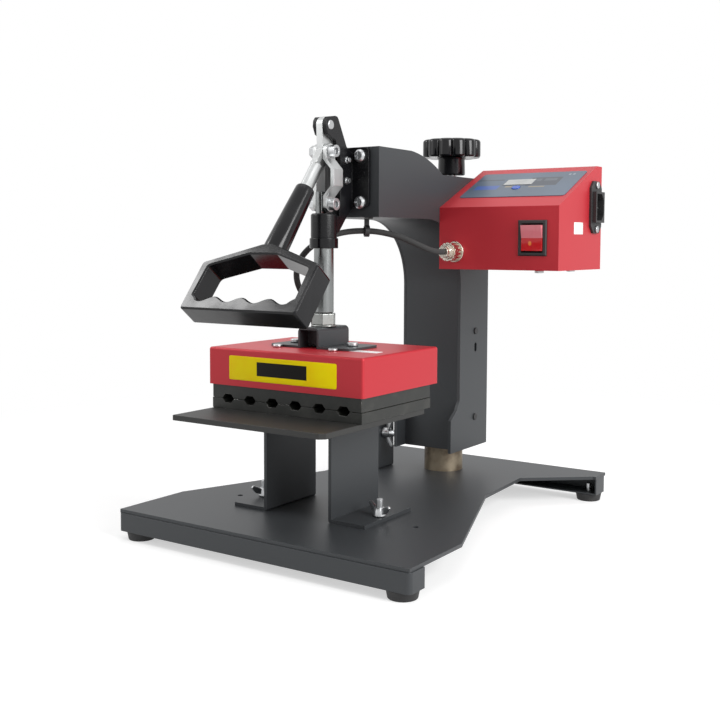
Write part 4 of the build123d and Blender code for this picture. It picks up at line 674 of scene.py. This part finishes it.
FILM = Printed(
    "control_print", (0.075, 0.105, 0.15), gain=1.3, cloud=(14.0, 2.0, 0.3, 0.7),
    cloud_gloss=0.08, grain=(1800.0, 2.0), foot=(-67.9, 283.3), angle=24.45,
    patches=(
        Patch(47.0, 71.0, 40.0, 50.0, (0.03, 0.09, 0.36), 0.85),
        Patch(96.0, 127.0, 47.5, 68.0, (0.03, 0.034, 0.045), 0.8),
        Patch(99.5, 108.0, 59.0, 65.0, (0.11, 0.125, 0.15), 0.7),
        Patch(110.5, 123.0, 59.0, 65.0, (0.11, 0.125, 0.15), 0.7),
        Patch(77.0, 84.0, 44.7, 49.0, (0.33, 0.26, 0.15), 0.7),
        Patch(101.0, 117.0, 43.7, 46.6, (0.33, 0.26, 0.15), 0.7),
        Patch(41.0, 69.5, 62.7, 65.5, (0.02, 0.023, 0.03), 0.7),
        Patch(129.5, 132.0, 72.0, 75.5, (0.45, 0.48, 0.52), 0.6),
        Patch(133.5, 136.0, 72.0, 75.5, (0.45, 0.48, 0.52), 0.6),
        Patch(72.0, 103.0, 49.0, 65.0, (0.04, 0.05, 0.07), 0.6),
    ),
)
PANEL = Printed(
    "panel_yellow", (1.0, 0.80, 0.0), (1.0, 0.72, 0.0), cloud=(60.0, 3.0, 0.4, 0.75), sheen=0.12,
    patches=(Patch(-25.8, 24.7, 143.3, 154.9, (0.006, 0.005, 0.004)),),
)
ROCKER_RED = Rocker("rocker_red")
LCD = Sticker("display_grey", (0.46, 0.47, 0.46), roughness=0.16)
WHITE_LABEL = Sticker("white_label")
LAMINATE = PlainStock("board_laminate", (0.02, 0.13, 0.06), roughness=0.4)
FELT = PlainStock(
    "ceramic_felt", (0.62, 0.60, 0.52), roughness=0.9,
    cloud=(800.0, 3.0, 0.4, 0.65), grain=(800.0, 3.0),
)
BRASS = PlainStock("bush_brass", (0.65, 0.48, 0.22), roughness=0.35, metallic=1.0)
CASTING = PlainStock("heater_casting", (0.55, 0.55, 0.54), metallic=1.0)


def dressed(item: Object, finish: Finish) -> Object:
    """Gives an object one finish.

    Args:
        item: A node's object or a piece.
        finish: The finish.

    Returns:
        The same object.
    """
    item.data.materials.clear()
    item.data.materials.append(finish.material())
    log.info("%s in %s", item.name, finish.name)
    return item


def add_piece(
    name: str, mesh: Mesh, body: str, finish: Finish, replaced: Sequence[str] = ()
) -> Object:
    """Adds a new piece to the model.

    Args:
        name: The piece's name.
        mesh: Its mesh, in place.
        body: The body that it moves with.
        finish: Its finish.
        replaced: Nodes that it stands for.

    Returns:
        The piece.
    """
    item = linked(name, mesh)
    dressed(item, finish)
    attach(item, body)
    if replaced:
        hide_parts(*replaced)
    return item


def linked(name: str, data: ID) -> Object:
    """A new object in the scene.

    Args:
        name: The object's name.
        data: Its mesh, curve, lamp or camera.

    Returns:
        The object.
    """
    item = bpy.data.objects.new(name, data)
    bpy.context.scene.collection.objects.link(item)
    return item


def shaded(mesh: Mesh, weld: float = 0.0) -> Mesh:
    """Turns a mesh's faces outwards and shades them smooth, but for its sharp edges.

    Args:
        mesh: The mesh.
        weld: The distance within which its points are joined, in millimetres.

    Returns:
        The same mesh.
    """
    bm = bmesh.new()
    bm.from_mesh(mesh)
    if weld:
        bmesh.ops.remove_doubles(bm, verts=bm.verts, dist=weld * MM)
    bmesh.ops.recalc_face_normals(bm, faces=bm.faces)
    bm.to_mesh(mesh)
    bm.free()
    mesh.shade_smooth()
    mesh.set_sharp_from_angle(angle=SHARP_ANGLE)
    return mesh


def mesh_of(name: str, points: Sequence[Point], faces: Sequence[Sequence[int]]) -> Mesh:
    """Makes a mesh from points in millimetres.

    Args:
        name: The mesh's name.
        points: Its vertices.
        faces: Its faces, as vertex numbers.

    Returns:
        The mesh, in metres.
    """
    mesh = bpy.data.meshes.new(name)
    mesh.from_pydata([Vector(p) * MM for p in points], [], faces)
    mesh.validate()
    return shaded(mesh)


def ring_of(reaches: Sequence[float], height: float, place: Matrix) -> list[Vector]:
    """A closed ring of points about a local Z axis.

    Args:
        reaches: How far each point is from the axis.
        height: The ring's height along the axis.
        place: The local frame, in millimetres.

    Returns:
        The ring's points.
    """
    points = []
    for i, reach in enumerate(reaches):
        turn = 2 * math.pi * i / len(reaches)
        points.append(place @ Vector((reach * math.cos(turn), reach * math.sin(turn), height)))
    return points


def skinned(name: str, rings: Sequence[Sequence[Point]]) -> Mesh:
    """Skins a stack of closed rings of equal count, and closes its ends.

    Args:
        name: The mesh's name.
        rings: The rings, in millimetres, in order.

    Returns:
        The mesh.
    """
    count = len(rings[0])
    points = [p for ring in rings for p in ring]
    faces = []
    for level in range(len(rings) - 1):
        low, high = level * count, (level + 1) * count
        for i in range(count):
            j = (i + 1) % count
            faces.append((low + i, low + j, high + j, high + i))
    faces.append(tuple(range(count))[::-1])
    faces.append(tuple(range(len(points) - count, len(points))))
    return mesh_of(name, points, faces)


def turned(name: str, profile: Pairs, place: Matrix, sides: int = 48) -> Mesh:
    """A solid of revolution about a local Z axis, from its radii and heights."""
    rings = [ring_of([radius] * sides, height, place) for radius, height in profile]
    return skinned(name, rings)


def mirrored(half: Pairs) -> list[Pair]:
    """A whole outline from its right half, given from end to end."""
    return [*half, *((-x, y) for x, y in reversed(half))]


def rounded(corners: Sequence[Point], radii: Sequence[float], steps: int = 6) -> list[Point]:
    """An outline with its corners rounded.

    Args:
        corners: The outline's corners, in order, on a plane.
        radii: The rounding at each corner.
        steps: Points along each rounding.

    Returns:
        The rounded outline's points.
    """
    outline = []
    count = len(corners)
    longest = 0.48  # of a side, so that two roundings don't meet
    for i, (corner, radius) in enumerate(zip(corners, radii)):
        here = Vector(corner)
        before = Vector(corners[i - 1]) - here
        after = Vector(corners[(i + 1) % count]) - here
        reach = radius / math.tan(before.angle(after) / 2)
        reach = min(reach, longest * before.length, longest * after.length)
        start = here + before.normalized() * reach
        end = here + after.normalized() * reach
        for step in range(steps + 1):
            t = step / steps
            outline.append((1 - t) ** 2 * start + 2 * t * (1 - t) * here + t * t * end)
    return outline


def pressed(
    name: str, outlines: Sequence[Sequence[Point]], half: float, edge: float,
    place: Matrix, steps: int,
) -> Mesh:
    """A flat shape with holes and rounded edges, as a moulding or stamping has.

    Args:
        name: The mesh's name.
        outlines: The outer outline and then the holes, in millimetres.
        half: Half the thickness.
        edge: The edges' rounding.
        place: The shape's frame, in millimetres; the shape lies in its XY plane.
        steps: Points along each rounding.

    Returns:
        The mesh.
    """
    curve = bpy.data.curves.new(name + "_outline", "CURVE")
    curve.dimensions = "2D"
    curve.fill_mode = "BOTH"
    curve.extrude = (half - edge) * MM
    curve.bevel_depth = edge * MM
    curve.bevel_resolution = steps
    curve.offset = -edge * MM
    for number, outline in enumerate(outlines):
        ends = zip(outline, [*outline[1:], outline[0]])
        area = sum(a[0] * b[1] - b[0] * a[1] for a, b in ends)
        ordered = list(outline) if (area > 0) == (number == 0) else list(outline)[::-1]
        spline = curve.splines.new("POLY")
        spline.points.add(len(ordered) - 1)
        for point, spot in zip(spline.points, ordered):
            point.co = (spot[0] * MM, spot[1] * MM, 0.0, 1.0)
        spline.use_cyclic_u = True
    holder = linked(name + "_outline", curve)
    bpy.context.view_layer.update()
    graph = bpy.context.evaluated_depsgraph_get()
    mesh = bpy.data.meshes.new_from_object(holder.evaluated_get(graph))
    bpy.data.objects.remove(holder)
    shift = place.copy()
    shift.translation = place.translation * MM
    mesh.transform(shift)
    mesh.name = name
    return shaded(mesh, CURVE_WELD)


def joined(name: str, meshes: Sequence[Mesh]) -> Mesh:
    """One mesh of several, which are used up.

    Args:
        name: The whole mesh's name.
        meshes: The meshes, all in place.

    Returns:
        The whole mesh.
    """
    bm = bmesh.new()
    for mesh in meshes:
        bm.from_mesh(mesh)
        bpy.data.meshes.remove(mesh)
    whole = bpy.data.meshes.new(name)
    bm.to_mesh(whole)
    bm.free()
    whole.set_sharp_from_angle(angle=SHARP_ANGLE)
    return whole


def placed(origin: Point, *turns: tuple[float, str]) -> Matrix:
    """A frame at a place, turned about its own axes one after another.

    Args:
        origin: The frame's origin.
        turns: Angles in degrees, each with its axis.

    Returns:
        The frame.
    """
    place = Matrix.Translation(origin)
    for angle, axis in turns:
        place = place @ Matrix.Rotation(math.radians(angle), 4, axis)
    return place


@dataclass(frozen=True)
class Trim:
    """How a node is dressed: in its own shape, or in a copy with edges rounded by a radius."""

    node: str
    finish: Finish
    radius: float = 0.0
    steps: int = 3

    def dress(self) -> Object:
        """Dresses the node, or the rounded copy that stands for it."""
        own = frame["nodes"][self.node]
        return self.eased(own.data.copy()) if self.radius else dressed(own, self.finish)

    def eased(self, mesh: Mesh) -> Object:
        """Rounds the sharp edges of a copy of the node.

        Args:
            mesh: The copy of the node's mesh.

        Returns:
            The copy, which stands for the node.
        """
        name = self.node + "_eased"
        mesh.name = name
        bm = bmesh.new()
        bm.from_mesh(mesh)
        bmesh.ops.remove_doubles(bm, verts=bm.verts, dist=NODE_WELD * MM)
        bmesh.ops.dissolve_limit(bm, angle_limit=FLAT_ANGLE, verts=bm.verts, edges=bm.edges)
        bm.to_mesh(mesh)
        bm.free()
        for attribute in ("custom_normal", "sharp_edge", "sharp_face"):
            if attribute in mesh.attributes:
                mesh.attributes.remove(mesh.attributes[attribute])
        mesh.shade_smooth()
        item = add_piece(name, mesh, BODY_OF[self.node], self.finish, [self.node])
        bevel = item.modifiers.new("ease", "BEVEL")
        bevel.width = self.radius * MM
        bevel.segments = self.steps
        bevel.limit_method = "ANGLE"
        bevel.angle_limit = EASED_ANGLE
        bevel.harden_normals = True
        bevel.use_clamp_overlap = True
        return item


Trims = tuple[Trim, ...]


@dataclass(frozen=True)
class Plate:
    """A thin plate or label with rounded corners, by its sides and half its thickness."""

    left: float
    right: float
    low: float
    high: float
    half: float = 0.08
    edge: float = 0.03
    corner: float = 1.0

    def lay(self, name: str, face: Matrix, node: str, finish: Finish) -> None:
        """Lays the plate on a node, as a piece of its own.

        Args:
            name: The piece's name.
            face: The face's frame, with Z out of it.
            node: The node that it lies on.
            finish: Its finish.
        """
        lower, upper = (self.left, self.low), (self.right, self.high)
        corners = [lower, (self.right, self.low), upper, (self.left, self.high)]
        outline = rounded(corners, [self.corner] * 4)
        place = face @ placed((0.0, 0.0, self.half))
        mesh = pressed(name, [outline], self.half, self.edge, place, 1)
        add_piece(name, mesh, BODY_OF[node], finish)


@dataclass
class WingNut:
    """A stamped wing nut: a turned hub with two swept wings."""

    hub: Pairs = (
        (3.05, 0.0), (5.1, 0.0), (5.5, 0.5), (5.2, 2.5), (4.4, 6.4), (3.8, 7.0), (3.05, 7.0),
    )
    wing: Pairs = ((3.4, 1.6), (9.4, 3.2), (14.5, 8.8), (12.4, 10.5), (8.6, 9.0), (3.4, 6.4))
    wing_radii: tuple[float, ...] = (1.0, 2.0, 1.6, 1.4, 1.6, 1.0)
    half_sheet: float = 1.2
    edge: float = 0.7

    def mesh(self, name: str, place: Matrix) -> Mesh:
        """Builds the nut about a frame's Z axis, with its wings along X.

        Args:
            name: The mesh's name.
            place: The frame of the nut, in millimetres.

        Returns:
            The mesh.
        """
        parts = [turned(name + "_hub", self.hub, place, 32)]
        upright = place @ UPRIGHT
        for side in (-1, 1):
            outline = rounded([(side * x, y) for x, y in self.wing], self.wing_radii, 4)
            wing = pressed(name + "_wing", [outline], self.half_sheet, self.edge, upright, 3)
            parts.append(wing)
        return joined(name, parts)


@dataclass
class ScrewEnd:
    """A length of screw thread that shows."""

    radius: float = 3.0
    pitch: float = 1.0
    depth: float = 0.55
    length: float = 7.4
    sides: int = 16
    levels: int = 44

    def mesh(self, name: str, place: Matrix) -> Mesh:
        """Builds the thread along a frame's Z axis.

        Args:
            name: The mesh's name.
            place: The frame of the thread's lower end, in millimetres.

        Returns:
            The mesh.
        """
        rings = []
        for level in range(self.levels + 1):
            height = self.length * level / self.levels
            phases = [(height / self.pitch - i / self.sides) % 1.0 for i in range(self.sides)]
            reaches = [self.radius - self.depth * abs(2.0 * phase - 1.0) for phase in phases]
            rings.append(ring_of(reaches, height, place))
        return skinned(name, rings)


@dataclass
class Assembly:
    """A sub-assembly: nodes that are dressed, and pieces that it makes itself."""

    trims: Trims = ()

    def build(self) -> None:
        """Dresses the nodes and then makes the pieces."""
        for trim in self.trims:
            trim.dress()
        self.make_pieces()

    def make_pieces(self) -> None:
        """Makes the pieces that no node gives."""


@dataclass
class BaseFrame(Assembly):
    """Base plate with its folded rails, feet and bolts."""

    trims: Trims = (
        Trim("base_plate", POWDER, 0.6),
        Trim("front_rail", POWDER, 0.8),
        Trim("rear_rail", POWDER, 0.8),
        Trim("rubber_feet", RUBBER, 0.8),
        Trim("foot_screws", ZINC),
        Trim("base_bolts", ZINC, 0.4, 2),
    )


@dataclass
class Stand(Assembly):
    """The two-legged stand with the lower platen, grooved block and wing nuts."""

    trims: Trims = (
        Trim("stand_leg_left", POWDER, 0.5),
        Trim("stand_leg_right", POWDER, 0.5),
        Trim("lower_platen", PLATEN_COAT, 0.4),
        Trim("platen_screws", ZINC),
        Trim("lower_block", BLOCK, 0.25, 2),
    )
    bolt_x: Pair = (-64.5, 55.5)
    bolt_y: float = -203.0
    seat_z: float = 29.3
    nut_turn: Pair = (75.0, -21.0)
    thread_up: float = 6.5

    def make_pieces(self) -> None:
        """Makes the wing nuts and the bolt ends in them."""
        for side, x, turn in zip(("left", "right"), self.bolt_x, self.nut_turn):
            seat = placed((x, self.bolt_y, self.seat_z), (turn, "Z"))
            name = "stand_wing_nut_" + side
            add_piece(name + "_wings", WingNut().mesh(name, seat), BODY_OF[name], ZINC, [name])
            end = placed((x, self.bolt_y, self.seat_z + self.thread_up))
            mesh = ScrewEnd().mesh("bolt_end", end)
            add_piece("stand_bolt_end_" + side, mesh, "root", ZINC)


@dataclass
class SwingStop(Assembly):
    """The stop that the column swings back against, with its wing nut."""

    trims: Trims = (
        Trim("swing_stop", POWDER, 0.5),
        Trim("stop_screw", ZINC, 0.3, 2),
    )
    nut: Triple = (-48.2, -35.0, 62.0)

    def make_pieces(self) -> None:
        """Makes the wing nut."""
        mesh = WingNut().mesh("stop_wing_nut", placed(self.nut, (90.0, "Y")))
        add_piece("stop_wings", mesh, BODY_OF["stop_wing_nut"], ZINC, ["stop_wing_nut"])


@dataclass
class Column(Assembly):
    """Column and arm of folded sheet on the post."""

    trims: Trims = (
        Trim("side_plate_left", POWDER, 0.7),
        Trim("side_plate_right", POWDER, 0.7),
        Trim("spine_cover", POWDER, 0.7),
        Trim("arm_front_plate", POWDER, 0.7),
        Trim("throat_web", POWDER, 0.4),
        Trim("pivot_post", OILED),
        Trim("pivot_sleeve", ZINC),
        Trim("post_bushes", BRASS),
        Trim("hole_plugs", MATT_BLACK, 0.5),
    )


@dataclass
class StarKnob(Assembly):
    """Moulded hand knob, by the height, inset and depth of flutes of each ring of its head."""

    trims: Trims = (Trim("knob_stud", ZINC),)
    y: float = 11.0
    radius: float = 29.0
    lobes: int = 12
    lobe_points: int = 20
    dip: float = 3.4
    roundness: float = 0.55
    head: tuple[Triple, ...] = (
        (335.2, 6.0, 0.6), (335.0, 3.0, 1.0), (335.5, 1.0, 1.0), (336.8, 0.0, 1.0),
        (350.0, 0.0, 1.0), (351.6, 0.6, 1.0), (352.5, 1.8, 1.0), (352.9, 3.6, 0.8),
        (353.0, 7.0, 0.3), (352.1, 12.0, 0.0), (352.0, 22.0, 0.0),
    )
    hub: Pairs = (
        (5.2, 318.0), (12.3, 318.0), (13.2, 318.5), (13.5, 319.6), (13.1, 333.0), (14.7, 335.6),
    )

    def make_pieces(self) -> None:
        """Makes the knob's head and hub as one moulding."""
        place = placed((0.0, self.y, 0.0))
        count = self.lobes * self.lobe_points
        waves = [abs(math.sin(self.lobes * math.pi * i / count)) for i in range(count)]
        rings = []
        for height, inset, share in self.head:
            depth = self.dip * share
            reaches = [self.radius - inset - depth * (1.0 - w ** self.roundness) for w in waves]
            rings.append(ring_of(reaches, height, place))
        meshes = [skinned("knob_head", rings), turned("knob_hub", self.hub, place)]
        mesh = joined("hand_knob", meshes)
        add_piece("hand_knob", mesh, BODY_OF["star_knob"], GLOSS_BLACK, ["star_knob"])


@dataclass
class ToggleClamp(Assembly):
    """Bracket, guide, links, lever and plunger of the toggle."""

    trims: Trims = (
        Trim("toggle_bracket", CAST_COAT, 0.9),
        Trim("bracket_bolts", ZINC, 0.5),
        Trim("guide_bush", GLOSS_BLACK, 0.6),
        Trim("toggle_links", LINK_STEEL, 0.6),
        Trim("top_pivot_pin", ZINC, 0.4),
        Trim("link_bolts", ZINC, 0.4),
        Trim("lever", LINK_STEEL, 0.8),
        Trim("plunger_rod", CHROME, 0.4),
        Trim("lock_nut", DULL_ZINC, 0.7),
    )


@dataclass
class Grip(Assembly):
    """The moulded grip: a tapered neck on the lever's tang and a D-shaped hand loop.

    Attributes:
        pivot: The lever's pivot, where the grip's frame has its origin.
        window_half: The right half of the window's outline above its wavy edge.
        foot: Half the width of the wavy edge, its height and the reach of its ends.
        crest: Where the waves are nearest to the neck; the trough is farthest from it.
        neck: Radii of the neck and their distances from the pivot.
    """

    pivot: Triple = (0.0, -204.0, 325.5)
    lean: float = 38.4
    half: float = 10.3
    edge: float = 1.2
    loop: Pairs = ((5.0, -104.5), (57.0, -123.0), (56.5, -168.3))
    window_half: Pairs = ((49.6, -154.8), (49.2, -126.4), (13.5, -114.6))
    foot: Triple = (49.6, 154.8, 5.0)
    wave: float = 26.7
    crest: float = 155.5
    trough: float = 160.0
    wave_steps: int = 56
    neck: Pairs = (
        (5.9, 41.1), (7.2, 41.0), (7.8, 41.4), (8.05, 42.4), (8.2, 46.0), (8.8, 66.0),
        (9.4, 88.0), (9.8, 104.5), (9.6, 107.0), (8.0, 109.5), (5.0, 110.5),
    )

    def frame(self) -> Matrix:
        """The grip's frame: X across, Y up the grip's axis and Z out of its front."""
        return placed(self.pivot, (90.0 - self.lean, "X"))

    def window(self) -> list[Point]:
        """The finger window's outline, with the waves along its lower edge.

        Returns:
            The outline's points.
        """
        foot, low, reach = self.foot
        upper = mirrored(self.window_half)
        outline = rounded(upper, [0.5, 4.0, 3.0, 3.0, 4.0, 0.5], 5)
        for step in range(1, self.wave_steps):
            x = foot * (2 * step / self.wave_steps - 1)
            dip = (1 - math.cos(2 * math.pi * x / self.wave)) / 2
            depth = self.crest + (self.trough - self.crest) * dip
            ease = min(1.0, (foot - abs(x)) / reach)
            outline.append(Vector((x, -(low + (depth - low) * ease))))
        return outline

    def make_pieces(self) -> None:
        """Makes the loop and the neck as one moulding."""
        outer = rounded(mirrored(self.loop), [3.0, 4.0, 3.0, 3.0, 4.0, 3.0], 5)
        place = self.frame()
        outlines = [outer, self.window()]
        loop = pressed("grip_loop", outlines, self.half, self.edge, place, 0)
        along = place @ UPRIGHT
        mesh = joined("hand_grip", [loop, turned("grip_neck", self.neck, along)])
        add_piece("hand_grip", mesh, BODY_OF["grip"], GLOSS_BLACK, ["grip"])


@dataclass
class Head(Assembly):
    """The heated head with its cover, plates and block."""

    trims: Trims = (
        Trim("hat_bracket", POWDER, 0.5),
        Trim("head_screws", ZINC, 0.8),
        Trim("head_cover", RED),
        Trim("insulation_pad", FELT),
        Trim("heater_plate", CASTING),
        Trim("upper_block", BLOCK, 0.25, 2),
        Trim("cable_gland", MATT_BLACK, 0.5),
    )
    face_y: float = -260.0
    plate: Plate = Plate(-54.7, 53.0, 138.9, 158.5, half=0.15, edge=0.08, corner=1.6)
    top_z: float = 164.3
    label: Plate = Plate(36.0, 65.0, -224.0, -213.0)

    def make_pieces(self) -> None:
        """Lays the front plate and the label on the cover."""
        front = placed((0.0, self.face_y, 0.0), (90.0, "X"))
        self.plate.lay("front_plate", front, "head_cover", PANEL)
        top = placed((0.0, 0.0, self.top_z))
        self.label.lay("top_label", top, "head_cover", WHITE_LABEL)


@dataclass
class ControlBox(Assembly):
    """The control box on the column's right side."""

    trims: Trims = (
        Trim("box_shell", RED, 0.9),
        Trim("box_cover", RED, 0.5),
        Trim("box_screws", ZINC, 0.6),
        Trim("control_film", FILM),
        Trim("display_window", LCD),
        Trim("panel_key", KEY_BLUE, 0.3),
        Trim("circuit_board", LAMINATE),
        Trim("switch_bezel", MATT_BLACK, 0.5),
        Trim("rocker_switch", ROCKER_RED, 0.6),
        Trim("power_inlet", MATT_BLACK, 0.6),
        Trim("inlet_pins", ZINC, 0.4),
    )
    right_x: float = 149.3
    label: Plate = Plate(-35.0, -14.5, 259.0, 269.6)

    def make_pieces(self) -> None:
        """Lays the label on the cover."""
        side = placed((self.right_x, 0.0, 0.0), (90.0, "Z"), (90.0, "X"))
        self.label.lay("side_label", side, "box_cover", WHITE_LABEL)


@dataclass
class HeaterCable(Assembly):
    """The heater's cable from the box to the head, with its coupling and clip."""

    trims: Trims = (
        Trim("cable_socket", CONNECTOR, 0.4),
        Trim("cable_ring", CONNECTOR, 0.4),
        Trim("cable_clip", MATT_BLACK, 0.3),
    )
    plug: Trim = Trim("cable_plug", CONNECTOR, 0.4)
    diameter: float = 5.2
    length: float = 218.6
    route: tuple[Triple, ...] = (
        (48.5, -90.6, 243.0), (48.5, -106.0, 243.0), (42.5, -121.0, 248.5),
        (29.0, -133.0, 256.5), (14.5, -145.5, 260.8), (1.5, -159.0, 261.2),
        (-8.0, -173.0, 258.8), (-17.0, -186.0, 253.0), (-27.5, -195.0, 242.5),
        (-32.5, -199.5, 229.0), (-33.0, -197.5, 215.0), (-32.0, -187.0, 202.5),
        (-31.0, -175.5, 190.0), (-31.0, -175.5, 173.3),
    )

    def make_pieces(self) -> None:
        """Lays the cable as one smooth curve, with its plug on the end."""
        curve = bpy.data.curves.new("cable_line", "CURVE")
        curve.dimensions = "3D"
        curve.bevel_depth = self.diameter / 2 * MM
        curve.bevel_resolution = 6
        curve.resolution_u = 10
        curve.use_fill_caps = True
        spline = curve.splines.new("NURBS")
        spline.points.add(len(self.route) - 1)
        for point, spot in zip(spline.points, self.route):
            point.co = (*(Vector(spot) * MM), 1.0)
        spline.order_u = 3
        spline.use_endpoint_u = True
        cable = linked("cable_line", curve)
        dressed(cable, JACKET)
        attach(cable, BODY_OF["heater_cable"])
        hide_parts("heater_cable")
        plug = self.plug.dress()


@dataclass(frozen=True)
class Lamp:
    """A square area lamp, in metres and watts."""

    name: str
    place: Triple
    target: Triple
    side: float
    power: float

    def hang(self) -> None:
        """Adds the lamp to the scene."""
        data = bpy.data.lights.new(self.name, "AREA")
        data.size = self.side
        data.energy = self.power
        item = linked(self.name, data)
        item.location = self.place
        aim = Vector(self.target) - Vector(self.place)
        item.rotation_euler = aim.to_track_quat("-Z", "Y").to_euler()


@dataclass
class Studio:
    """Floor, light and camera; angles are in degrees.

    Attributes:
        axis_px: Where the camera's axis meets the picture.
        fade: Where the floor fades to white, as squares of metres from the origin.
        surround: The surround's light on the part; the camera sees it white.
    """

    camera: Triple = (507.1, -898.8, 249.3)
    yaw: float = 34.10
    pitch: float = 3.896
    roll: float = 0.206
    focal_px: float = 1035.6
    frame_px: float = 720.0
    axis_px: Pair = (360.3, 315.0)
    sensor: float = 36.0
    clip: float = 0.01
    floor_reach: float = 6000.0
    floor_paint: float = 0.60
    floor_glow: float = 0.55
    fade: Pair = (0.12, 0.60)
    surround: float = 0.40
    lamps: tuple[Lamp, ...] = (
        Lamp("key_right", (1.6, -0.3, 0.9), (0.05, -0.1, 0.15), 1.0, 30.0),
        Lamp("fill_left", (-1.2, -1.4, 0.9), (0.0, -0.15, 0.15), 1.0, 3.0),
        Lamp("top_soft", (0.0, 0.2, 1.8), (0.0, -0.1, 0.1), 1.4, 7.0),
        Lamp("top_left", (-1.045, -0.642, 1.156), (0.0, -0.313, 0.205), 0.36, 4.0),
    )

    def aim(self) -> Matrix:
        """The camera's frame, in metres."""
        turns = ((self.yaw, "Z"), (90.0 - self.pitch, "X"), (self.roll, "Z"))
        return placed(Vector(self.camera) * MM, *turns)

    def place_camera(self) -> None:
        """Puts the camera at the photograph's viewpoint."""
        lens = bpy.data.cameras.new("viewpoint")
        lens.sensor_fit = "HORIZONTAL"
        lens.sensor_width = self.sensor
        lens.lens = self.focal_px / self.frame_px * self.sensor
        middle = self.frame_px / 2
        lens.shift_x = (middle - self.axis_px[0]) / self.frame_px
        lens.shift_y = (self.axis_px[1] - middle) / self.frame_px
        lens.clip_start = self.clip
        camera = linked("viewpoint", lens)
        camera.matrix_world = self.aim()
        bpy.context.scene.camera = camera

    def lay_floor(self) -> None:
        """Lays the plain pale floor, which keeps the press's shadow."""
        far = self.floor_reach
        points = [(-far, -far, 0), (far, -far, 0), (far, far, 0), (-far, far, 0)]
        mesh = mesh_of("floor", points, [(0, 1, 2, 3)])
        floor = linked("floor", mesh)
        graph = Graph(bpy.data.materials.new("pale_floor"))
        x, y, _ = graph.axes()
        away = (x * x + y * y).ramp(*self.fade)
        paint = graph.node("BsdfDiffuse", sockets={"Color": scaled(WHITE, self.floor_paint)})
        glow = graph.node("Emission", sockets={"Color": WHITE, "Strength": self.floor_glow})
        white = graph.node("Emission", sockets={"Color": WHITE, "Strength": 1.0})
        near = graph.node("AddShader", sockets={0: paint, 1: glow})
        shown = graph.node("MixShader", sockets={0: away, 1: near, 2: white})
        seen = graph.seen_by("Is Glossy Ray")
        whole = graph.node("MixShader", sockets={0: seen, 1: paint, 2: shown})
        mesh.materials.append(graph.end(whole))

    def light(self) -> None:
        """Sets the white surround and the soft lamps."""
        world = bpy.data.worlds.new("white_surround")
        bpy.context.scene.world = world
        graph = Graph(world)
        seen = graph.seen_by("Is Transmission Ray", "Is Glossy Ray")
        strength = seen * (1.0 - self.surround) + self.surround
        graph.end(graph.node("Background", sockets={"Color": WHITE, "Strength": strength}))
        for lamp in self.lamps:
            lamp.hang()

    def build(self) -> None:
        """Sets up the studio."""
        self.place_camera()
        self.lay_floor()
        self.light()
        bpy.context.scene.view_settings.view_transform = "Standard"


def main() -> None:
    """Builds the press and its studio."""
    logging.basicConfig(level=logging.INFO, format="%(name)s: %(message)s")
    assemblies = [
        HeaterCable(), BaseFrame(), Stand(), SwingStop(), Column(), StarKnob(), ToggleClamp(),
        Grip(), Head(), ControlBox(), Studio(),
    ]
    for assembly in assemblies:
        log.info("building %s", type(assembly).__name__)
        assembly.build()


if __name__ == "__main__":
    main()
